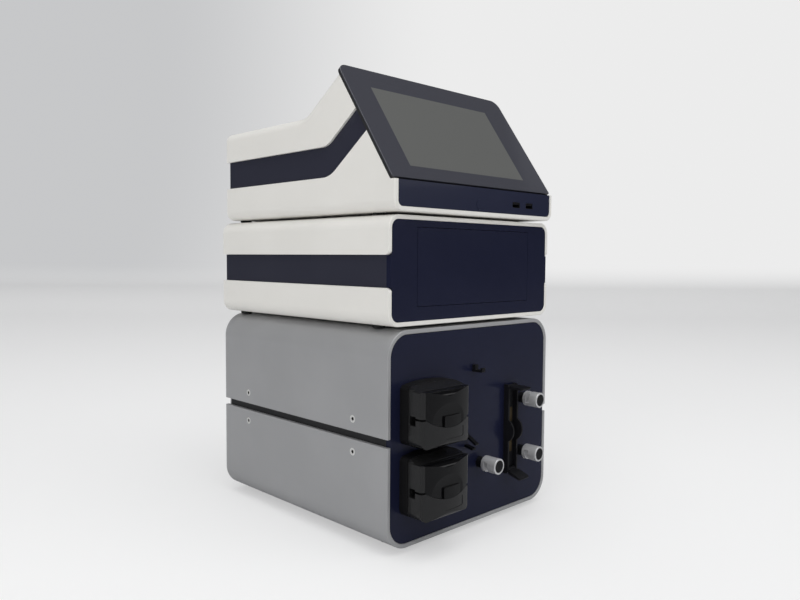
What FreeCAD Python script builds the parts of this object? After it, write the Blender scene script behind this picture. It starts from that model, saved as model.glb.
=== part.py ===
import FreeCAD, Part
import math
import os

# Stacked electroporator. A flow unit with two flip-front tube pumps, three pinch valves and a
# cartridge dock stands on the table. A drawer unit stands on it, and a touch-screen unit on that.
# Millimetres. X runs along the front, +Y goes to the back and +Z up. Sizes inside a unit are
# measured from the flow unit's front panel (Y) and from the unit's own underside (Z).
# The last step centres the stack on Y, so that the origin is the middle of its footprint.

V = FreeCAD.Vector
X_AXIS, Y_AXIS, Z_AXIS = V(1, 0, 0), V(0, 1, 0), V(0, 0, 1)
LEFT, RIGHT = -1, 1
DOWN, UP = -1, 1

# Clearances and cutting overrun shared by every piece
overrun = 1.0
seat = 0.15
running = 0.3
shaft_play = 0.05
tiny = 0.000001

# The stack
foot_height = 5.5
foot_radius = 9.0
foot_bevel = 1.0
foot_inset = 36.0
low_gap = 3.5
high_gap = 2.7
pad_radius = 6.6
pad_from_side = 21.0
pad_front_y = 35.0
pad_back_y = 273.0

# Flow unit housing
flow_width = 256.0
flow_height = 212.4
flow_depth = 287.1
flow_edge_radius = 26.0
flow_wall = 4.2
flow_rim = 0.5
flow_rim_chamfer = 0.6
flow_seam_height = 101.7
flow_seam = 8.3
flow_panel_thickness = 6.0
flow_panel_chamfer = 0.5
back_thickness = 2.5
back_inset = 3.0
chassis_wall = 2.0

# Side screws of the flow unit
screw_from_ends = 50.0
screw_from_seam = 12.3
screw_head_radius = 3.8
screw_head_depth = 2.0
screw_shank_radius = 1.9
screw_length = 9.0
screw_socket_radius = 2.0
screw_socket_depth = 1.3

# Tube pumps
pump_x = -77.75
pump_low_z = 33.0
pump_pitch = 69.0
pump_width = 67.5
pump_height = 54.5
pump_shoulder_height = 57.5
pump_crown = 3.5
pump_crown_flat = 6.0
pump_side_depth = 29.0
pump_front_depth = 34.0
pump_corner_radius = 3.5
pump_shoulder_radius = 5.0
pump_foot_radius = 8.0
pump_brow_radius = 6.0
pump_sill_radius = 6.0
pump_back_wall = 5.0
pump_seam_depth = 11.5
pump_seam_width = 0.7
pump_seam_cut = 0.6
slot_low = 22.0
slot_high = 31.0
slot_back_depth = 13.5
slot_front_depth = 21.0
slot_slit = 2.0
inset_left = 5.0
inset_right = 22.0
inset_low = 7.0
inset_height = 10.0
inset_depth = 0.4
inset_radius = 1.5

# Lid of a pump
lid_width = 58.5
lid_thickness = 6.0
lid_lip_share = 0.64
lid_pin_radius = 1.0
lid_pin_length = 1.5
smile_left = 28.5
smile_low = 18.5
smile_right = 24.5
smile_low_offset = 4.0
lid_pocket_depth = 2.2
lid_pocket_width = 44.0
lid_pocket_low = 31.0
lid_pocket_high = 41.0
lid_pocket_radius = 4.0
tab_offset = 5.0
tab_width = 24.0
tab_top = 29.5
tab_corner = 1.5
scoop_radius = 70.0
scoop_height = 25.0
scoop_depth = 2.1

# Rotor of a pump
rotor_height = 24.5
chamber_radius = 20.5
orbit_radius = 11.2
roller_count = 3
roller_radius = 5.9
roller_pin_radius = 1.6
rotor_plate = 2.5
rotor_plate_corner = 5.0
rotor_back_gap = 1.0
rotor_front_gap = 4.5
rotor_hub_radius = 4.2
rotor_shaft_radius = 3.0
rotor_cap_radius = 5.5
rotor_cap = 1.0

# Pump motors behind the front panel
motor_flange = 42.0
motor_flange_thickness = 5.0
motor_flange_radius = 5.0
motor_shaft_depth = 14.0
motor_radius = 18.0
motor_length = 62.0
motor_tail_radius = 11.0
motor_tail = 6.0

# Pinch valves
valve_right_x = 80.2
valve_left_x = 8.2
valve_high_z = 124.0
valve_low_z = 63.5
valve_radius = 8.4
valve_head_start = 8.2
valve_reach = 27.0
valve_base_ring = 3.9
valve_slot = 4.6
valve_slot_floor = 3.3
valve_collar_radius = 6.0
valve_cap_radius = 6.5
valve_cap_depth = 2.0
valve_cap_recess = 0.5
valve_chamfer = 0.5
plunger_radius = 2.6
plunger_tail = 20.0
solenoid_width = 26.0
solenoid_length = 40.0
solenoid_radius = 3.0

# Cartridge dock
dock_x = 58.25
dock_width = 17.5
dock_wall = 2.2
dock_low_z = 46.0
dock_high_z = 139.0
dock_rail = 6.5
dock_base = 2.0
dock_ear_z = 91.0
dock_ear_radius = 13.5
dock_pin_radius = 1.2
dock_barrel_radius = 3.0
paddle_reach = 21.0
paddle_thickness = 3.5
paddle_tip_thickness = 2.0
paddle_tip_radius = 0.8
paddle_neck = 5.0
paddle_corner = 2.5
lever_tilt = 18.0
contact_length = 16.0
contact_width = 6.0
contact_thickness = 0.8
contact_gap = 18.0

# Tube clips on the front panel, as places across and up the panel
clip_places = {"high": (-3.0, 166.0), "middle": (-14.0, 90.0), "low": (-35.5, 79.0)}
clip_width = 5.0
clip_reach = 13.5
clip_height = 7.4
clip_foot = 4.0
clip_arm = 2.4
clip_tip = 2.5
clip_radius = 0.8
finger_thickness = 2.4
upper_finger = ((0, 6.5), (-15.0, -1.5))
lower_finger = ((0, -5.0), (-11.0, -7.0))

# Fan of the flow unit
fan_size = 80.0
fan_depth = 25.0
fan_from_side = 66.0
fan_z = 120.0
fan_duct_radius = 38.0
fan_corner_radius = 5.0
fan_tip_gap = 0.9
fan_hub_radius = 16.0
fan_hub_length = 18.0
fan_blade_count = 7
fan_blade_chord = 19.0
fan_blade_thickness = 1.6
fan_blade_pitch = 38.0
fan_strut = 4.0
fan_plate = 3.0
fan_pin_radius = 2.0
guard_ring = 2.4
guard_slot = 4.6
guard_rings = 5
guard_spoke = 4.0

# Inner pieces of the flow unit
board_thickness = 1.6
board_post_radius = 3.0
board_post_height = 8.0
board_inset = 12.0
generator_width = 180.0
generator_depth = 130.0
generator_y = 125.0
capacitor_radius = 12.5
capacitor_height = 52.0
capacitor_pitch = 32.0
capacitor_columns = 4
capacitor_rows = 2
choke_width = 34.0
choke_height = 30.0

# Sockets at the back of each unit
link_width = 31.0
link_height = 12.5
link_flange = 1.2
link_shell_width = 19.0
link_shell_height = 8.6
link_shell_radius = 2.4
link_shell_wall = 0.8
link_shell_length = 6.0
link_core_length = 3.6
link_depth = 9.0
link_pitch = 44.0
vent_slot = 2.6
vent_length = 44.0
vent_pitch = 7.0
vent_count = 7

# Drawer unit housing
bay_inset = 0.65
bay_height = 106.0
bay_depth = 291.9
bay_edge_radius = 12.8
bay_wall = 4.2
bay_band_low = 37.0
bay_band_high = 68.1
bay_nose_radius = 5.5
bay_panel_thickness = 5.5
band_recess = 2.6
band_thickness = 2.4
shell_chamfer = 0.6

# Drawer
drawer_width = 178.6
drawer_low = 17.9
drawer_high = 95.1
drawer_corner = 1.5
drawer_gap = 0.45
drawer_travel = 115.0
tray_width = 156.0
tray_length = 150.0
tray_floor_z = 22.5
tray_floor = 2.6
tray_wall = 3.0
tray_height = 34.0
tray_corner = 6.0
runner_height = 6.0
runner_z = 26.0
runner_width = 5.0
rail_web = 3.0
rail_flange = 2.2
rail_foot = 10.0
rail_length = 190.0
carrier_length = 104.0
carrier_width = 138.0
carrier_height = 17.0
carrier_y = 22.0
cuvette_width = 13.0
cuvette_depth = 12.0
cuvette_x = -48.0
cuvette_pitch = 42.0
strip_width = 21.0
strip_length = 78.0
strip_x = 34.0
strip_lip = 2.5

# Rack and pinion of the drawer
tooth_module = 1.0
pinion_teeth = 12
pinion_width = 7.0
pinion_y = 30.0
rack_x = -36.0
rack_start = 24.0
rack_teeth = 40
rack_bar = 1.2
tooth_backlash = 0.3
tooth_root_share = 1.25
flank_angle = 20.0
pinion_root_share = 1.12
pinion_tip_share = 0.42
pinion_shaft_radius = 1.5
gearmotor_radius = 7.0
gearmotor_length = 38.0
gearmotor_foot = 1.6

# Contact head over the drawer
head_width = 108.0
head_length = 92.0
head_thickness = 9.0
head_z = 73.0
head_post_radius = 4.0
head_post_y = 74.0
head_post_pitch = 92.0
probe_radius = 1.3
probe_length = 9.0
probe_pitch = 9.0
probe_rows = 2
probe_columns = 8
head_travel = 6.0

# Screen unit housing
screen_inset = 1.5
screen_unit_height = 102.9
screen_unit_front = 6.4
screen_unit_back = 284.8
screen_edge_radius = 10.0
screen_wall = 4.5
slope_peak_y = 79.6
slope_peak_z = 139.9
slope_angle = 34.0
slope_knee_radius = 30.0
screen_nose_radius = 1.5
screen_band_low = 37.4
screen_band_high = 68.6
screen_band_low_bend = 88.9
screen_band_high_bend = 94.0
screen_band_angle = 35.8
screen_band_low_radius = 34.0
screen_band_high_radius = 26.0
strip_top = 29.4
strip_thickness = 4.0
strip_corner = 6.5

# Sloping screen
slab_inset = 0.15
slab_length = 141.9
slab_foot_y = -3.1
slab_foot_z = 31.8
slab_tilt = 34.57
glass_thickness = 1.2
slab_thickness = 4.0
slab_corner = 11.0
slab_low_corner = 2.0
slab_rim_corner = 5.0
slab_hole_corner = 2.8
glass_chamfer = 0.3
slab_lip = 2.2
slab_rim_low = 13.5
slab_rim_high = 128.5
display_width = 192.0
display_height = 116.0
display_thickness = 7.0
display_rise = 66.6
display_corner = 2.0

# Pieces in the front strip
button_x = -3.0
button_z = 12.2
button_radius = 5.6
button_gap = 0.1
button_stem_radius = 3.0
button_stem = 7.0
button_proud = 0.3
button_travel = 1.0
usb_from_side = 55.35
usb_z = 14.9
usb_pitch = 24.0
usb_width = 12.6
usb_height = 5.8
usb_wall = 0.4
usb_depth = 14.0
usb_tongue = 1.5
usb_tongue_gap = 0.3
usb_radius = 0.6

# Inner pieces of the screen unit
main_board_width = 150.0
main_board_depth = 120.0
main_board_x = -22.0
main_board_y = 60.0
processor_width = 36.0
processor_height = 12.0
processor_plate = 4.0
cooler_fins = 7
cooler_fin = 1.6
mains_supply_width = 60.0
mains_supply_depth = 130.0
mains_supply_height = 36.0
mains_supply_from_side = 41.85
mains_supply_y = 110.0
mains_supply_foot = 1.5

# Mains inlet and rocker switch at the back of the screen unit
inlet_from_side = 37.85
inlet_z = 30.0
inlet_width = 30.0
inlet_height = 24.0
inlet_flange_width = 37.2
inlet_flange_height = 30.0
inlet_flange = 2.0
inlet_well_width = 24.4
inlet_well_height = 16.6
inlet_well_cut = 4.5
inlet_well_depth = 15.0
inlet_body_depth = 20.0
inlet_pin_width = 2.0
inlet_pin_height = 4.0
inlet_pin_length = 9.5
inlet_pin_pitch = 7.0
inlet_pin_rise = 2.0
rocker_from_side = 75.85
rocker_width = 13.0
rocker_height = 19.5
rocker_swing = 8.0
rocker_rise = 1.6
rocker_depth = 6.0
rocker_pin_radius = 1.5
rocker_pin_length = 0.75
rocker_frame = 3.0
rocker_frame_depth = 12.0
rocker_floor = 2.0
link_from_side = 40.0
link_z = 30.0

# Widths of the upper units, and places measured from a side of their unit
bay_width = flow_width - 2 * bay_inset
screen_width = bay_width - 2 * screen_inset
slab_width = screen_width - 2 * slab_inset
pad_x = flow_width / 2 - pad_from_side
fan_x = flow_width / 2 - fan_from_side
link_x = link_from_side - flow_width / 2
usb_x = screen_width / 2 - usb_from_side
inlet_x = screen_width / 2 - inlet_from_side
rocker_x = screen_width / 2 - rocker_from_side
mains_supply_x = screen_width / 2 - mains_supply_from_side

# Heights of the three undersides
flow_base = foot_height
bay_base = flow_base + flow_height + low_gap
screen_base = bay_base + bay_height + high_gap

# Reach of the stack in front of the panel and behind it
front_reach = max(pump_front_depth, valve_reach)
back_reach = max(flow_depth, bay_depth - back_inset + link_shell_length, screen_unit_back)
middle_y = (back_reach - front_reach) / 2


def front_view(u, v, depth):
    return V(u, depth, v)


def side_view(u, v, depth):
    return V(depth, u, v)


def top_view(u, v, depth):
    return V(u, v, depth)


def bend(before, corner, after, radius):
    """Start, middle, end and centre of the arc that rounds a corner of a flat outline."""
    point = V(corner[0], corner[1], 0)
    back = V(before[0], before[1], 0) - point
    ahead = V(after[0], after[1], 0) - point
    half = back.getAngle(ahead) / 2
    back.normalize()
    ahead.normalize()
    middle = back + ahead
    middle.normalize()
    centre = point + middle * (radius / math.sin(half))
    setback = radius / math.tan(half)
    return point + back * setback, centre - middle * radius, point + ahead * setback, centre


def outline(corners, view, depth):
    """Face inside a polygon given as (u, v, corner radius) triples."""
    edges = []
    count = len(corners)
    bends = [bend(corners[i - 1], corners[i], corners[(i + 1) % count], corners[i][2]) for i in range(count)]
    for index, (start, middle, end, centre) in enumerate(bends):
        previous = bends[index - 1][2]
        if (start - previous).Length > tiny:
            edges.append(Part.LineSegment(view(previous.x, previous.y, depth),
                                          view(start.x, start.y, depth)).toShape())
        if corners[index][2] > 0:
            edges.append(Part.Arc(view(start.x, start.y, depth), view(middle.x, middle.y, depth),
                                  view(end.x, end.y, depth)).toShape())
    return Part.Face(Part.Wire(edges))


def front_prism(corners, y0, y1):
    return outline(corners, front_view, y0).extrude(V(0, y1 - y0, 0))


def side_prism(corners, x0, x1):
    return outline(corners, side_view, x0).extrude(V(x1 - x0, 0, 0))


def top_prism(corners, z0, z1):
    return outline(corners, top_view, z0).extrude(V(0, 0, z1 - z0))


def rectangle(u0, u1, v0, v1, radius=0):
    return [(u0, v0, radius), (u1, v0, radius), (u1, v1, radius), (u0, v1, radius)]


def box(x0, x1, y0, y1, z0, z1):
    return Part.makeBox(x1 - x0, y1 - y0, z1 - z0, V(x0, y0, z0))


def rod_x(y, z, radius, x0, x1):
    return Part.makeCylinder(radius, x1 - x0, V(x0, y, z), X_AXIS)


def rod_y(x, z, radius, y0, y1):
    return Part.makeCylinder(radius, y1 - y0, V(x, y0, z), Y_AXIS)


def rod_z(x, y, radius, z0, z1):
    return Part.makeCylinder(radius, z1 - z0, V(x, y, z0), Z_AXIS)


def cut_all(shape, tools):
    return shape.cut(Part.makeCompound(tools))


def join(shapes):
    joined = shapes[0].multiFuse(shapes[1:]) if len(shapes) > 1 else shapes[0]
    return joined.removeSplitter()


def edges_where(shape, test):
    return [edge for edge in shape.Edges if all(test(vertex.Point) for vertex in edge.Vertexes)]


def at_y(y):
    return lambda point: abs(point.y - y) < tiny


def keeps_x(edge):
    """True for an edge that stays at one X."""
    return edge.BoundBox.XLength < tiny * 10


def open_tube(width, z0, z1, radius, wall, y0, y1):
    """Rounded rectangular tube along Y."""
    outer = front_prism(rectangle(-width / 2, width / 2, z0, z1, radius), y0, y1)
    inner = rectangle(-width / 2 + wall, width / 2 - wall, z0 + wall, z1 - wall, radius - wall)
    return outer.cut(front_prism(inner, y0 - overrun, y1 + overrun))


# Feet and stacking pads


def foot(x, y, z0, z1, radius):
    """Rubber foot with a bevelled sole that stands flat."""
    sole = Part.makeCone(radius - foot_bevel, radius, foot_bevel, V(x, y, z0), Z_AXIS)
    return sole.fuse(rod_z(x, y, radius, z0 + foot_bevel, z1)).removeSplitter()


def rubber_feet():
    feet = []
    for side in (LEFT, RIGHT):
        for y in (foot_inset, flow_depth - foot_inset):
            feet.append(foot(side * (flow_width / 2 - foot_inset), y, 0, flow_base, foot_radius))
        for y in (pad_front_y, pad_back_y):
            feet.append(foot(side * pad_x, y, flow_base + flow_height, bay_base, pad_radius))
            feet.append(foot(side * pad_x, y, bay_base + bay_height, screen_base, pad_radius))
    return Part.makeCompound(feet)


# Flow unit housing


def seam_low():
    return flow_base + flow_seam_height


def seam_high():
    return seam_low() + flow_seam


def screw_places():
    for side in (LEFT, RIGHT):
        for y in (screw_from_ends, flow_depth - screw_from_ends):
            for z in (seam_low() - screw_from_seam, seam_high() + screw_from_seam):
                yield side, y, z


def side_rod(side, y, z, radius, outer, depth):
    """Rod along X that starts at the distance outer from the middle and runs inwards."""
    x0, x1 = sorted((side * outer, side * (outer - depth)))
    return rod_x(y, z, radius, x0, x1)


def screw_holes():
    holes = []
    face = flow_width / 2
    for side, y, z in screw_places():
        holes.append(side_rod(side, y, z, screw_head_radius + shaft_play, face + overrun,
                              screw_head_depth + overrun))
        holes.append(side_rod(side, y, z, screw_shank_radius + shaft_play, face, screw_length + running))
    return holes


def side_screws():
    screws = []
    face = flow_width / 2
    for side, y, z in screw_places():
        head = side_rod(side, y, z, screw_head_radius, face, screw_head_depth)
        shank = side_rod(side, y, z, screw_shank_radius, face - screw_head_depth,
                         screw_length - screw_head_depth)
        corners = [(y + screw_socket_radius * math.cos(turn), z + screw_socket_radius * math.sin(turn), 0)
                   for turn in (math.radians(step * 60) for step in range(6))]
        x0, x1 = sorted((side * (face + overrun), side * (face - screw_socket_depth)))
        screws.append(head.fuse(shank).cut(side_prism(corners, x0, x1)))
    return Part.makeCompound(screws)


def flow_shells():
    """Upper and lower aluminium shell, each a U over the whole depth."""
    z0, z1 = flow_base, flow_base + flow_height
    front = -flow_rim
    ring = open_tube(flow_width, z0, z1, flow_edge_radius, flow_wall, front, flow_depth)
    ring = ring.makeChamfer(flow_rim_chamfer, edges_where(ring, at_y(front)))
    ring = cut_all(ring, screw_holes())
    half = flow_width / 2 + overrun
    above = box(-half, half, front - overrun, flow_depth + overrun, seam_high(), z1 + overrun)
    below = box(-half, half, front - overrun, flow_depth + overrun, z0 - overrun, seam_low())
    return ring.common(above), ring.common(below)


def flow_chassis():
    """Dark inner frame that both shells screw to; its sides show in the seam."""
    gap = flow_wall + seat
    tube = open_tube(flow_width - 2 * gap, flow_base + gap, flow_base + flow_height - gap,
                     flow_edge_radius - gap, chassis_wall, flow_panel_thickness,
                     flow_depth - back_inset - back_thickness)
    return cut_all(tube, screw_holes())


def inner_plate(width, z0, z1, radius, wall, y0, y1):
    """Plate that fills the mouth of a rounded tube."""
    gap = wall + seat
    return front_prism(rectangle(-width / 2 + gap, width / 2 - gap, z0 + gap, z1 - gap, radius - gap),
                       y0, y1)


def valve_places():
    yield "right_high", valve_right_x, flow_base + valve_high_z
    yield "right_low", valve_right_x, flow_base + valve_low_z
    yield "left_low", valve_left_x, flow_base + valve_low_z


def pump_bases():
    return {"lower": flow_base + pump_low_z, "upper": flow_base + pump_low_z + pump_pitch}


def flow_front_panel():
    """Gloss plate with the shaft holes of the pumps and the holes of the valve collars."""
    plate = inner_plate(flow_width, flow_base, flow_base + flow_height, flow_edge_radius, flow_wall,
                        0, flow_panel_thickness)
    plate = plate.makeChamfer(flow_panel_chamfer, edges_where(plate, at_y(0)))
    holes = [rod_y(pump_x, base + rotor_height, rotor_shaft_radius + shaft_play, -overrun,
                   flow_panel_thickness + overrun) for base in pump_bases().values()]
    holes += [rod_y(x, z, valve_collar_radius + shaft_play, -overrun, flow_panel_thickness + overrun)
              for name, x, z in valve_places()]
    return cut_all(plate, holes)


def link_places(base):
    """Middles of the two link sockets at the back of a unit."""
    return [(link_x + step * link_pitch, base + link_z) for step in (0, 1)]


def link_openings(base, back):
    gap = link_shell_wall
    return [front_prism(rectangle(x - link_shell_width / 2 - gap, x + link_shell_width / 2 + gap,
                                  z - link_shell_height / 2 - gap, z + link_shell_height / 2 + gap,
                                  link_shell_radius), back - back_thickness - overrun, back + overrun)
            for x, z in link_places(base)]


def vents(x, z, back):
    """Row of upright vent slots."""
    slots = []
    for step in range(vent_count):
        middle = x + (step - (vent_count - 1) / 2) * vent_pitch
        slots.append(front_prism(rectangle(middle - vent_slot / 2, middle + vent_slot / 2,
                                           z - vent_length / 2, z + vent_length / 2, vent_slot / 2),
                                 back - back_thickness - overrun, back + overrun))
    return slots


def guard_slots(x, z, y0, y1):
    """Ring slots of the finger guard, parted by four spokes."""
    slots = []
    for ring in range(guard_rings):
        inner = fan_hub_radius / 2 + ring * (guard_slot + guard_ring)
        slot = rod_y(x, z, inner + guard_slot, y0, y1).cut(rod_y(x, z, inner, y0, y1))
        slots.append(slot)
    reach = fan_duct_radius * 2
    half = guard_spoke / 2
    spokes = [box(x - reach, x + reach, y0, y1, z - half, z + half),
              box(x - half, x + half, y0, y1, z - reach, z + reach)]
    return cut_all(Part.makeCompound(slots), spokes)


def flow_back():
    return flow_depth - back_inset


def flow_rear_panel():
    back = flow_back()
    plate = inner_plate(flow_width, flow_base, flow_base + flow_height, flow_edge_radius, flow_wall,
                        back - back_thickness, back)
    tools = link_openings(flow_base, back) + vents(link_x + link_pitch / 2, flow_base + fan_z, back)
    tools.append(guard_slots(fan_x, flow_base + fan_z, back - back_thickness - overrun, back + overrun))
    return cut_all(plate, tools)


# Fan


def fan_frame():
    """Square fan frame with a round duct, whose struts carry the bearing plate."""
    x, z = fan_x, flow_base + fan_z
    back = flow_back() - back_thickness
    front = back - fan_depth
    half = fan_size / 2
    frame = front_prism(rectangle(x - half, x + half, z - half, z + half, fan_corner_radius), front, back)
    frame = frame.cut(rod_y(x, z, fan_duct_radius, front - overrun, back + overrun))
    strut = fan_strut / 2
    reach = fan_duct_radius + tiny
    pieces = [frame, rod_y(x, z, fan_hub_radius, front, front + fan_plate),
              box(x - reach, x + reach, front, front + fan_plate, z - strut, z + strut),
              box(x - strut, x + strut, front, front + fan_plate, z - reach, z + reach)]
    bearing = rod_y(x, z, fan_pin_radius + shaft_play, front - overrun, front + fan_plate + overrun)
    return join(pieces).cut(bearing)


def fan_rotor():
    """Hub cup with pitched blades on a pin that runs in the frame's bearing plate."""
    x, z = fan_x, flow_base + fan_z
    front = flow_back() - back_thickness - fan_depth
    y0 = front + fan_plate + running
    y1 = y0 + fan_hub_length
    middle = (y0 + y1) / 2
    tip = fan_duct_radius - fan_tip_gap
    blades = []
    for step in range(fan_blade_count):
        root = fan_hub_radius / 2
        blade = box(root, tip + overrun, -fan_blade_thickness / 2, fan_blade_thickness / 2,
                    -fan_blade_chord / 2, fan_blade_chord / 2)
        blade.rotate(V(0, 0, 0), X_AXIS, fan_blade_pitch)
        blade.rotate(V(0, 0, 0), Y_AXIS, step * 360 / fan_blade_count)
        blade.translate(V(x, middle, z))
        blades.append(blade)
    limits = rod_y(x, z, tip, y0, y1)
    blades = [blade.common(limits) for blade in blades]
    hub = rod_y(x, z, fan_hub_radius, y0, y1)
    pin = rod_y(x, z, fan_pin_radius, front, y0)
    return join([hub, pin] + blades)


# Tube pumps


def pump_left():
    return pump_x - pump_width / 2


def pump_right():
    return pump_x + pump_width / 2


def pump_outline(base, inset):
    """Front view of a pump, drawn in by inset: rounded foot corners under an arched top."""
    left, right = pump_left() + inset, pump_right() - inset
    shoulder = base + pump_shoulder_height - inset
    base = base + inset
    radius = pump_foot_radius - inset
    return left, right, base, shoulder, radius


def pump_front_prism(base, inset, y0, y1):
    left, right, foot_z, shoulder, radius = pump_outline(base, inset)
    body = front_prism([(left, foot_z, radius), (right, foot_z, radius), (right, shoulder, 0),
                        (left, shoulder, 0)], y0, y1)
    crown = Part.Arc(V(left, y0, shoulder), V(pump_x, y0, shoulder + pump_crown), V(right, y0, shoulder))
    chord = Part.LineSegment(V(right, y0, shoulder), V(left, y0, shoulder))
    cap = Part.Face(Part.Wire([crown.toShape(), chord.toShape()])).extrude(V(0, y1 - y0, 0))
    body = join([body, cap])
    ends = edges_where(body, lambda point: abs(point.z - shoulder) < tiny)
    return body.makeFillet(pump_shoulder_radius, [edge for edge in ends if keeps_x(edge)])


def pump_top(base):
    return base + pump_shoulder_height + pump_crown


def pump_form(base):
    """Outer form of a closed pump: front view, plan and side view cut into one another."""
    left, right = pump_left(), pump_right()
    front = -pump_front_depth
    top = pump_top(base)
    low = base - overrun
    high = top + overrun
    bow = Part.Arc(V(left, -pump_side_depth, low), V(pump_x, front, low), V(right, -pump_side_depth, low))
    sides = [V(right, -pump_side_depth, low), V(right, overrun, low), V(left, overrun, low),
             V(left, -pump_side_depth, low)]
    edges = [bow.toShape()] + [Part.LineSegment(a, b).toShape() for a, b in zip(sides, sides[1:])]
    plan = Part.Face(Part.Wire(edges)).extrude(V(0, 0, high - low))
    corners = [edge for edge in edges_where(plan, at_y(-pump_side_depth)) if keeps_x(edge)]
    plan = plan.makeFillet(pump_corner_radius, corners)
    brow = base + pump_height
    slope_start = front + 2 * pump_brow_radius
    slope = (top - brow) / (-pump_crown_flat - slope_start)
    side = side_prism([(overrun, base, 0), (front, base, pump_sill_radius), (front, brow, pump_brow_radius),
                       (slope_start, brow, 0), (overrun, brow + slope * (overrun - slope_start), 0)],
                      left - overrun, right + overrun)
    return pump_front_prism(base, 0, front - overrun, 0).common(plan).common(side)


def lid_pivot(base):
    return -pump_front_depth + pump_brow_radius, base + pump_height - pump_brow_radius


def above_smile(base, lift):
    """Space above the curved lower edge of the lid, raised or lowered by lift."""
    half = pump_width / 2 + overrun
    ends = V(pump_x - lid_width / 2, 0, base + smile_left + lift)
    low = V(pump_x + smile_low_offset, 0, base + smile_low + lift)
    other = V(pump_x + lid_width / 2, 0, base + smile_right + lift)
    front = -pump_front_depth - overrun
    points = [other, V(pump_x + half, 0, other.z), V(pump_x + half, 0, base + 2 * pump_height),
              V(pump_x - half, 0, base + 2 * pump_height), V(pump_x - half, 0, ends.z), ends]
    edges = [Part.Arc(ends, low, other).toShape()]
    edges += [Part.LineSegment(a, b).toShape() for a, b in zip(points, points[1:])]
    face = Part.Face(Part.Wire(edges))
    face.translate(V(0, front, 0))
    return face.extrude(V(0, -front, 0))


def lid_space(base, gap):
    """Room that the lid takes in the pump's form, widened by gap all round."""
    pivot_y, pivot_z = lid_pivot(base)
    half = lid_width / 2 + gap
    x0, x1 = pump_x - half, pump_x + half
    parting = -pump_front_depth + lid_thickness + gap
    front = -pump_front_depth - overrun
    top = pump_top(base) + overrun
    plate = box(x0, x1, front, parting, base - overrun, pivot_z)
    brow = box(x0, x1, front, pivot_y, pivot_z - tiny, top)
    barrel = rod_x(pivot_y, pivot_z, pump_brow_radius + gap, x0, x1)
    return join([plate, brow, barrel]).common(above_smile(base, -gap))


def pump_chamber(base):
    """Horseshoe room of the rotor: the round track above its axis, straight walls below."""
    parting = -pump_front_depth + lid_thickness
    axis_z = base + rotor_height
    track = rod_y(pump_x, axis_z, chamber_radius, parting, -pump_back_wall)
    lower = box(pump_x - chamber_radius, pump_x + chamber_radius, parting, -pump_back_wall,
                axis_z - chamber_radius, axis_z)
    return track.fuse(lower).removeSplitter()


def tube_ways(base):
    """Slot in each side wall for the tube, and the slit through which it is pressed in."""
    ways = []
    outer = pump_width / 2 + overrun
    for side, slit_z in ((LEFT, base + smile_left), (RIGHT, base + smile_right)):
        x0, x1 = sorted((pump_x, pump_x + side * outer))
        ways.append(box(x0, x1, -slot_front_depth, -slot_back_depth, base + slot_low, base + slot_high))
        x0, x1 = sorted((pump_x + side * lid_width / 2, pump_x + side * outer))
        ways.append(box(x0, x1, -pump_front_depth - overrun, -slot_back_depth, slit_z - slot_slit / 2,
                        slit_z + slot_slit / 2))
    return ways


def pump_housing(base):
    """Fixed body of a pump: rotor chamber, tube slots on both sides and lower fascia."""
    body = pump_form(base)
    pivot_y, pivot_z = lid_pivot(base)
    axis_z = base + rotor_height
    parting = -pump_front_depth + lid_thickness
    top = pump_top(base) + overrun
    lip = pivot_y + lid_lip_share * pump_brow_radius
    half = lid_width / 2 + running
    tools = [lid_space(base, running), pump_chamber(base),
             box(pump_x - half, pump_x + half, pivot_y - pump_brow_radius, lip, pivot_z, top),
             rod_y(pump_x, axis_z, rotor_shaft_radius + shaft_play, -pump_back_wall - overrun, overrun),
             rod_x(pivot_y, pivot_z, lid_pin_radius + shaft_play,
                   pump_x - lid_width / 2 - lid_pin_length - running,
                   pump_x + lid_width / 2 + lid_pin_length + running)]
    tools += tube_ways(base)
    seam = [pump_front_prism(base, -overrun, -pump_seam_depth, -pump_seam_depth + pump_seam_width),
            pump_front_prism(base, pump_seam_cut, -pump_seam_depth - overrun,
                             -pump_seam_depth + pump_seam_width + overrun)]
    tools.append(seam[0].cut(seam[1]))
    back = -pump_side_depth + inset_depth
    fascia = pump_form(base).common(box(pump_left(), pump_right(), -pump_front_depth, parting, base, top))
    fascia.translate(V(0, inset_depth, 0))
    frame = front_prism(rectangle(pump_x - inset_left, pump_x + inset_right, base + inset_low,
                                  base + inset_low + inset_height, inset_radius),
                        -pump_front_depth - overrun, back)
    tools.append(frame.cut(fascia))
    return cut_all(body, tools)


def pump_lid(base):
    """Flip-front lid with a finger tab that stands in a shallow scoop, and hinge pins."""
    lid = pump_form(base).common(lid_space(base, 0))
    pivot_y, pivot_z = lid_pivot(base)
    parting = -pump_front_depth + lid_thickness
    tab_x = pump_x + tab_offset
    tab = front_prism([(tab_x - tab_width / 2, base, 0), (tab_x + tab_width / 2, base, 0),
                       (tab_x + tab_width / 2, base + tab_top, tab_corner),
                       (tab_x - tab_width / 2, base + tab_top, tab_corner)],
                      -pump_front_depth - overrun, parting)
    scoop = rod_x(-pump_front_depth - scoop_radius + scoop_depth, base + scoop_height, scoop_radius,
                  pump_left(), pump_right())
    tools = [scoop.cut(tab)]
    tools.append(front_prism(rectangle(pump_x - lid_pocket_width / 2, pump_x + lid_pocket_width / 2,
                                       base + lid_pocket_low, base + lid_pocket_high, lid_pocket_radius),
                             parting - lid_pocket_depth, parting + overrun))
    lid = cut_all(lid, tools)
    pins = rod_x(pivot_y, pivot_z, lid_pin_radius, pump_x - lid_width / 2 - lid_pin_length,
                 pump_x + lid_width / 2 + lid_pin_length)
    return join([lid, pins])


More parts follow.
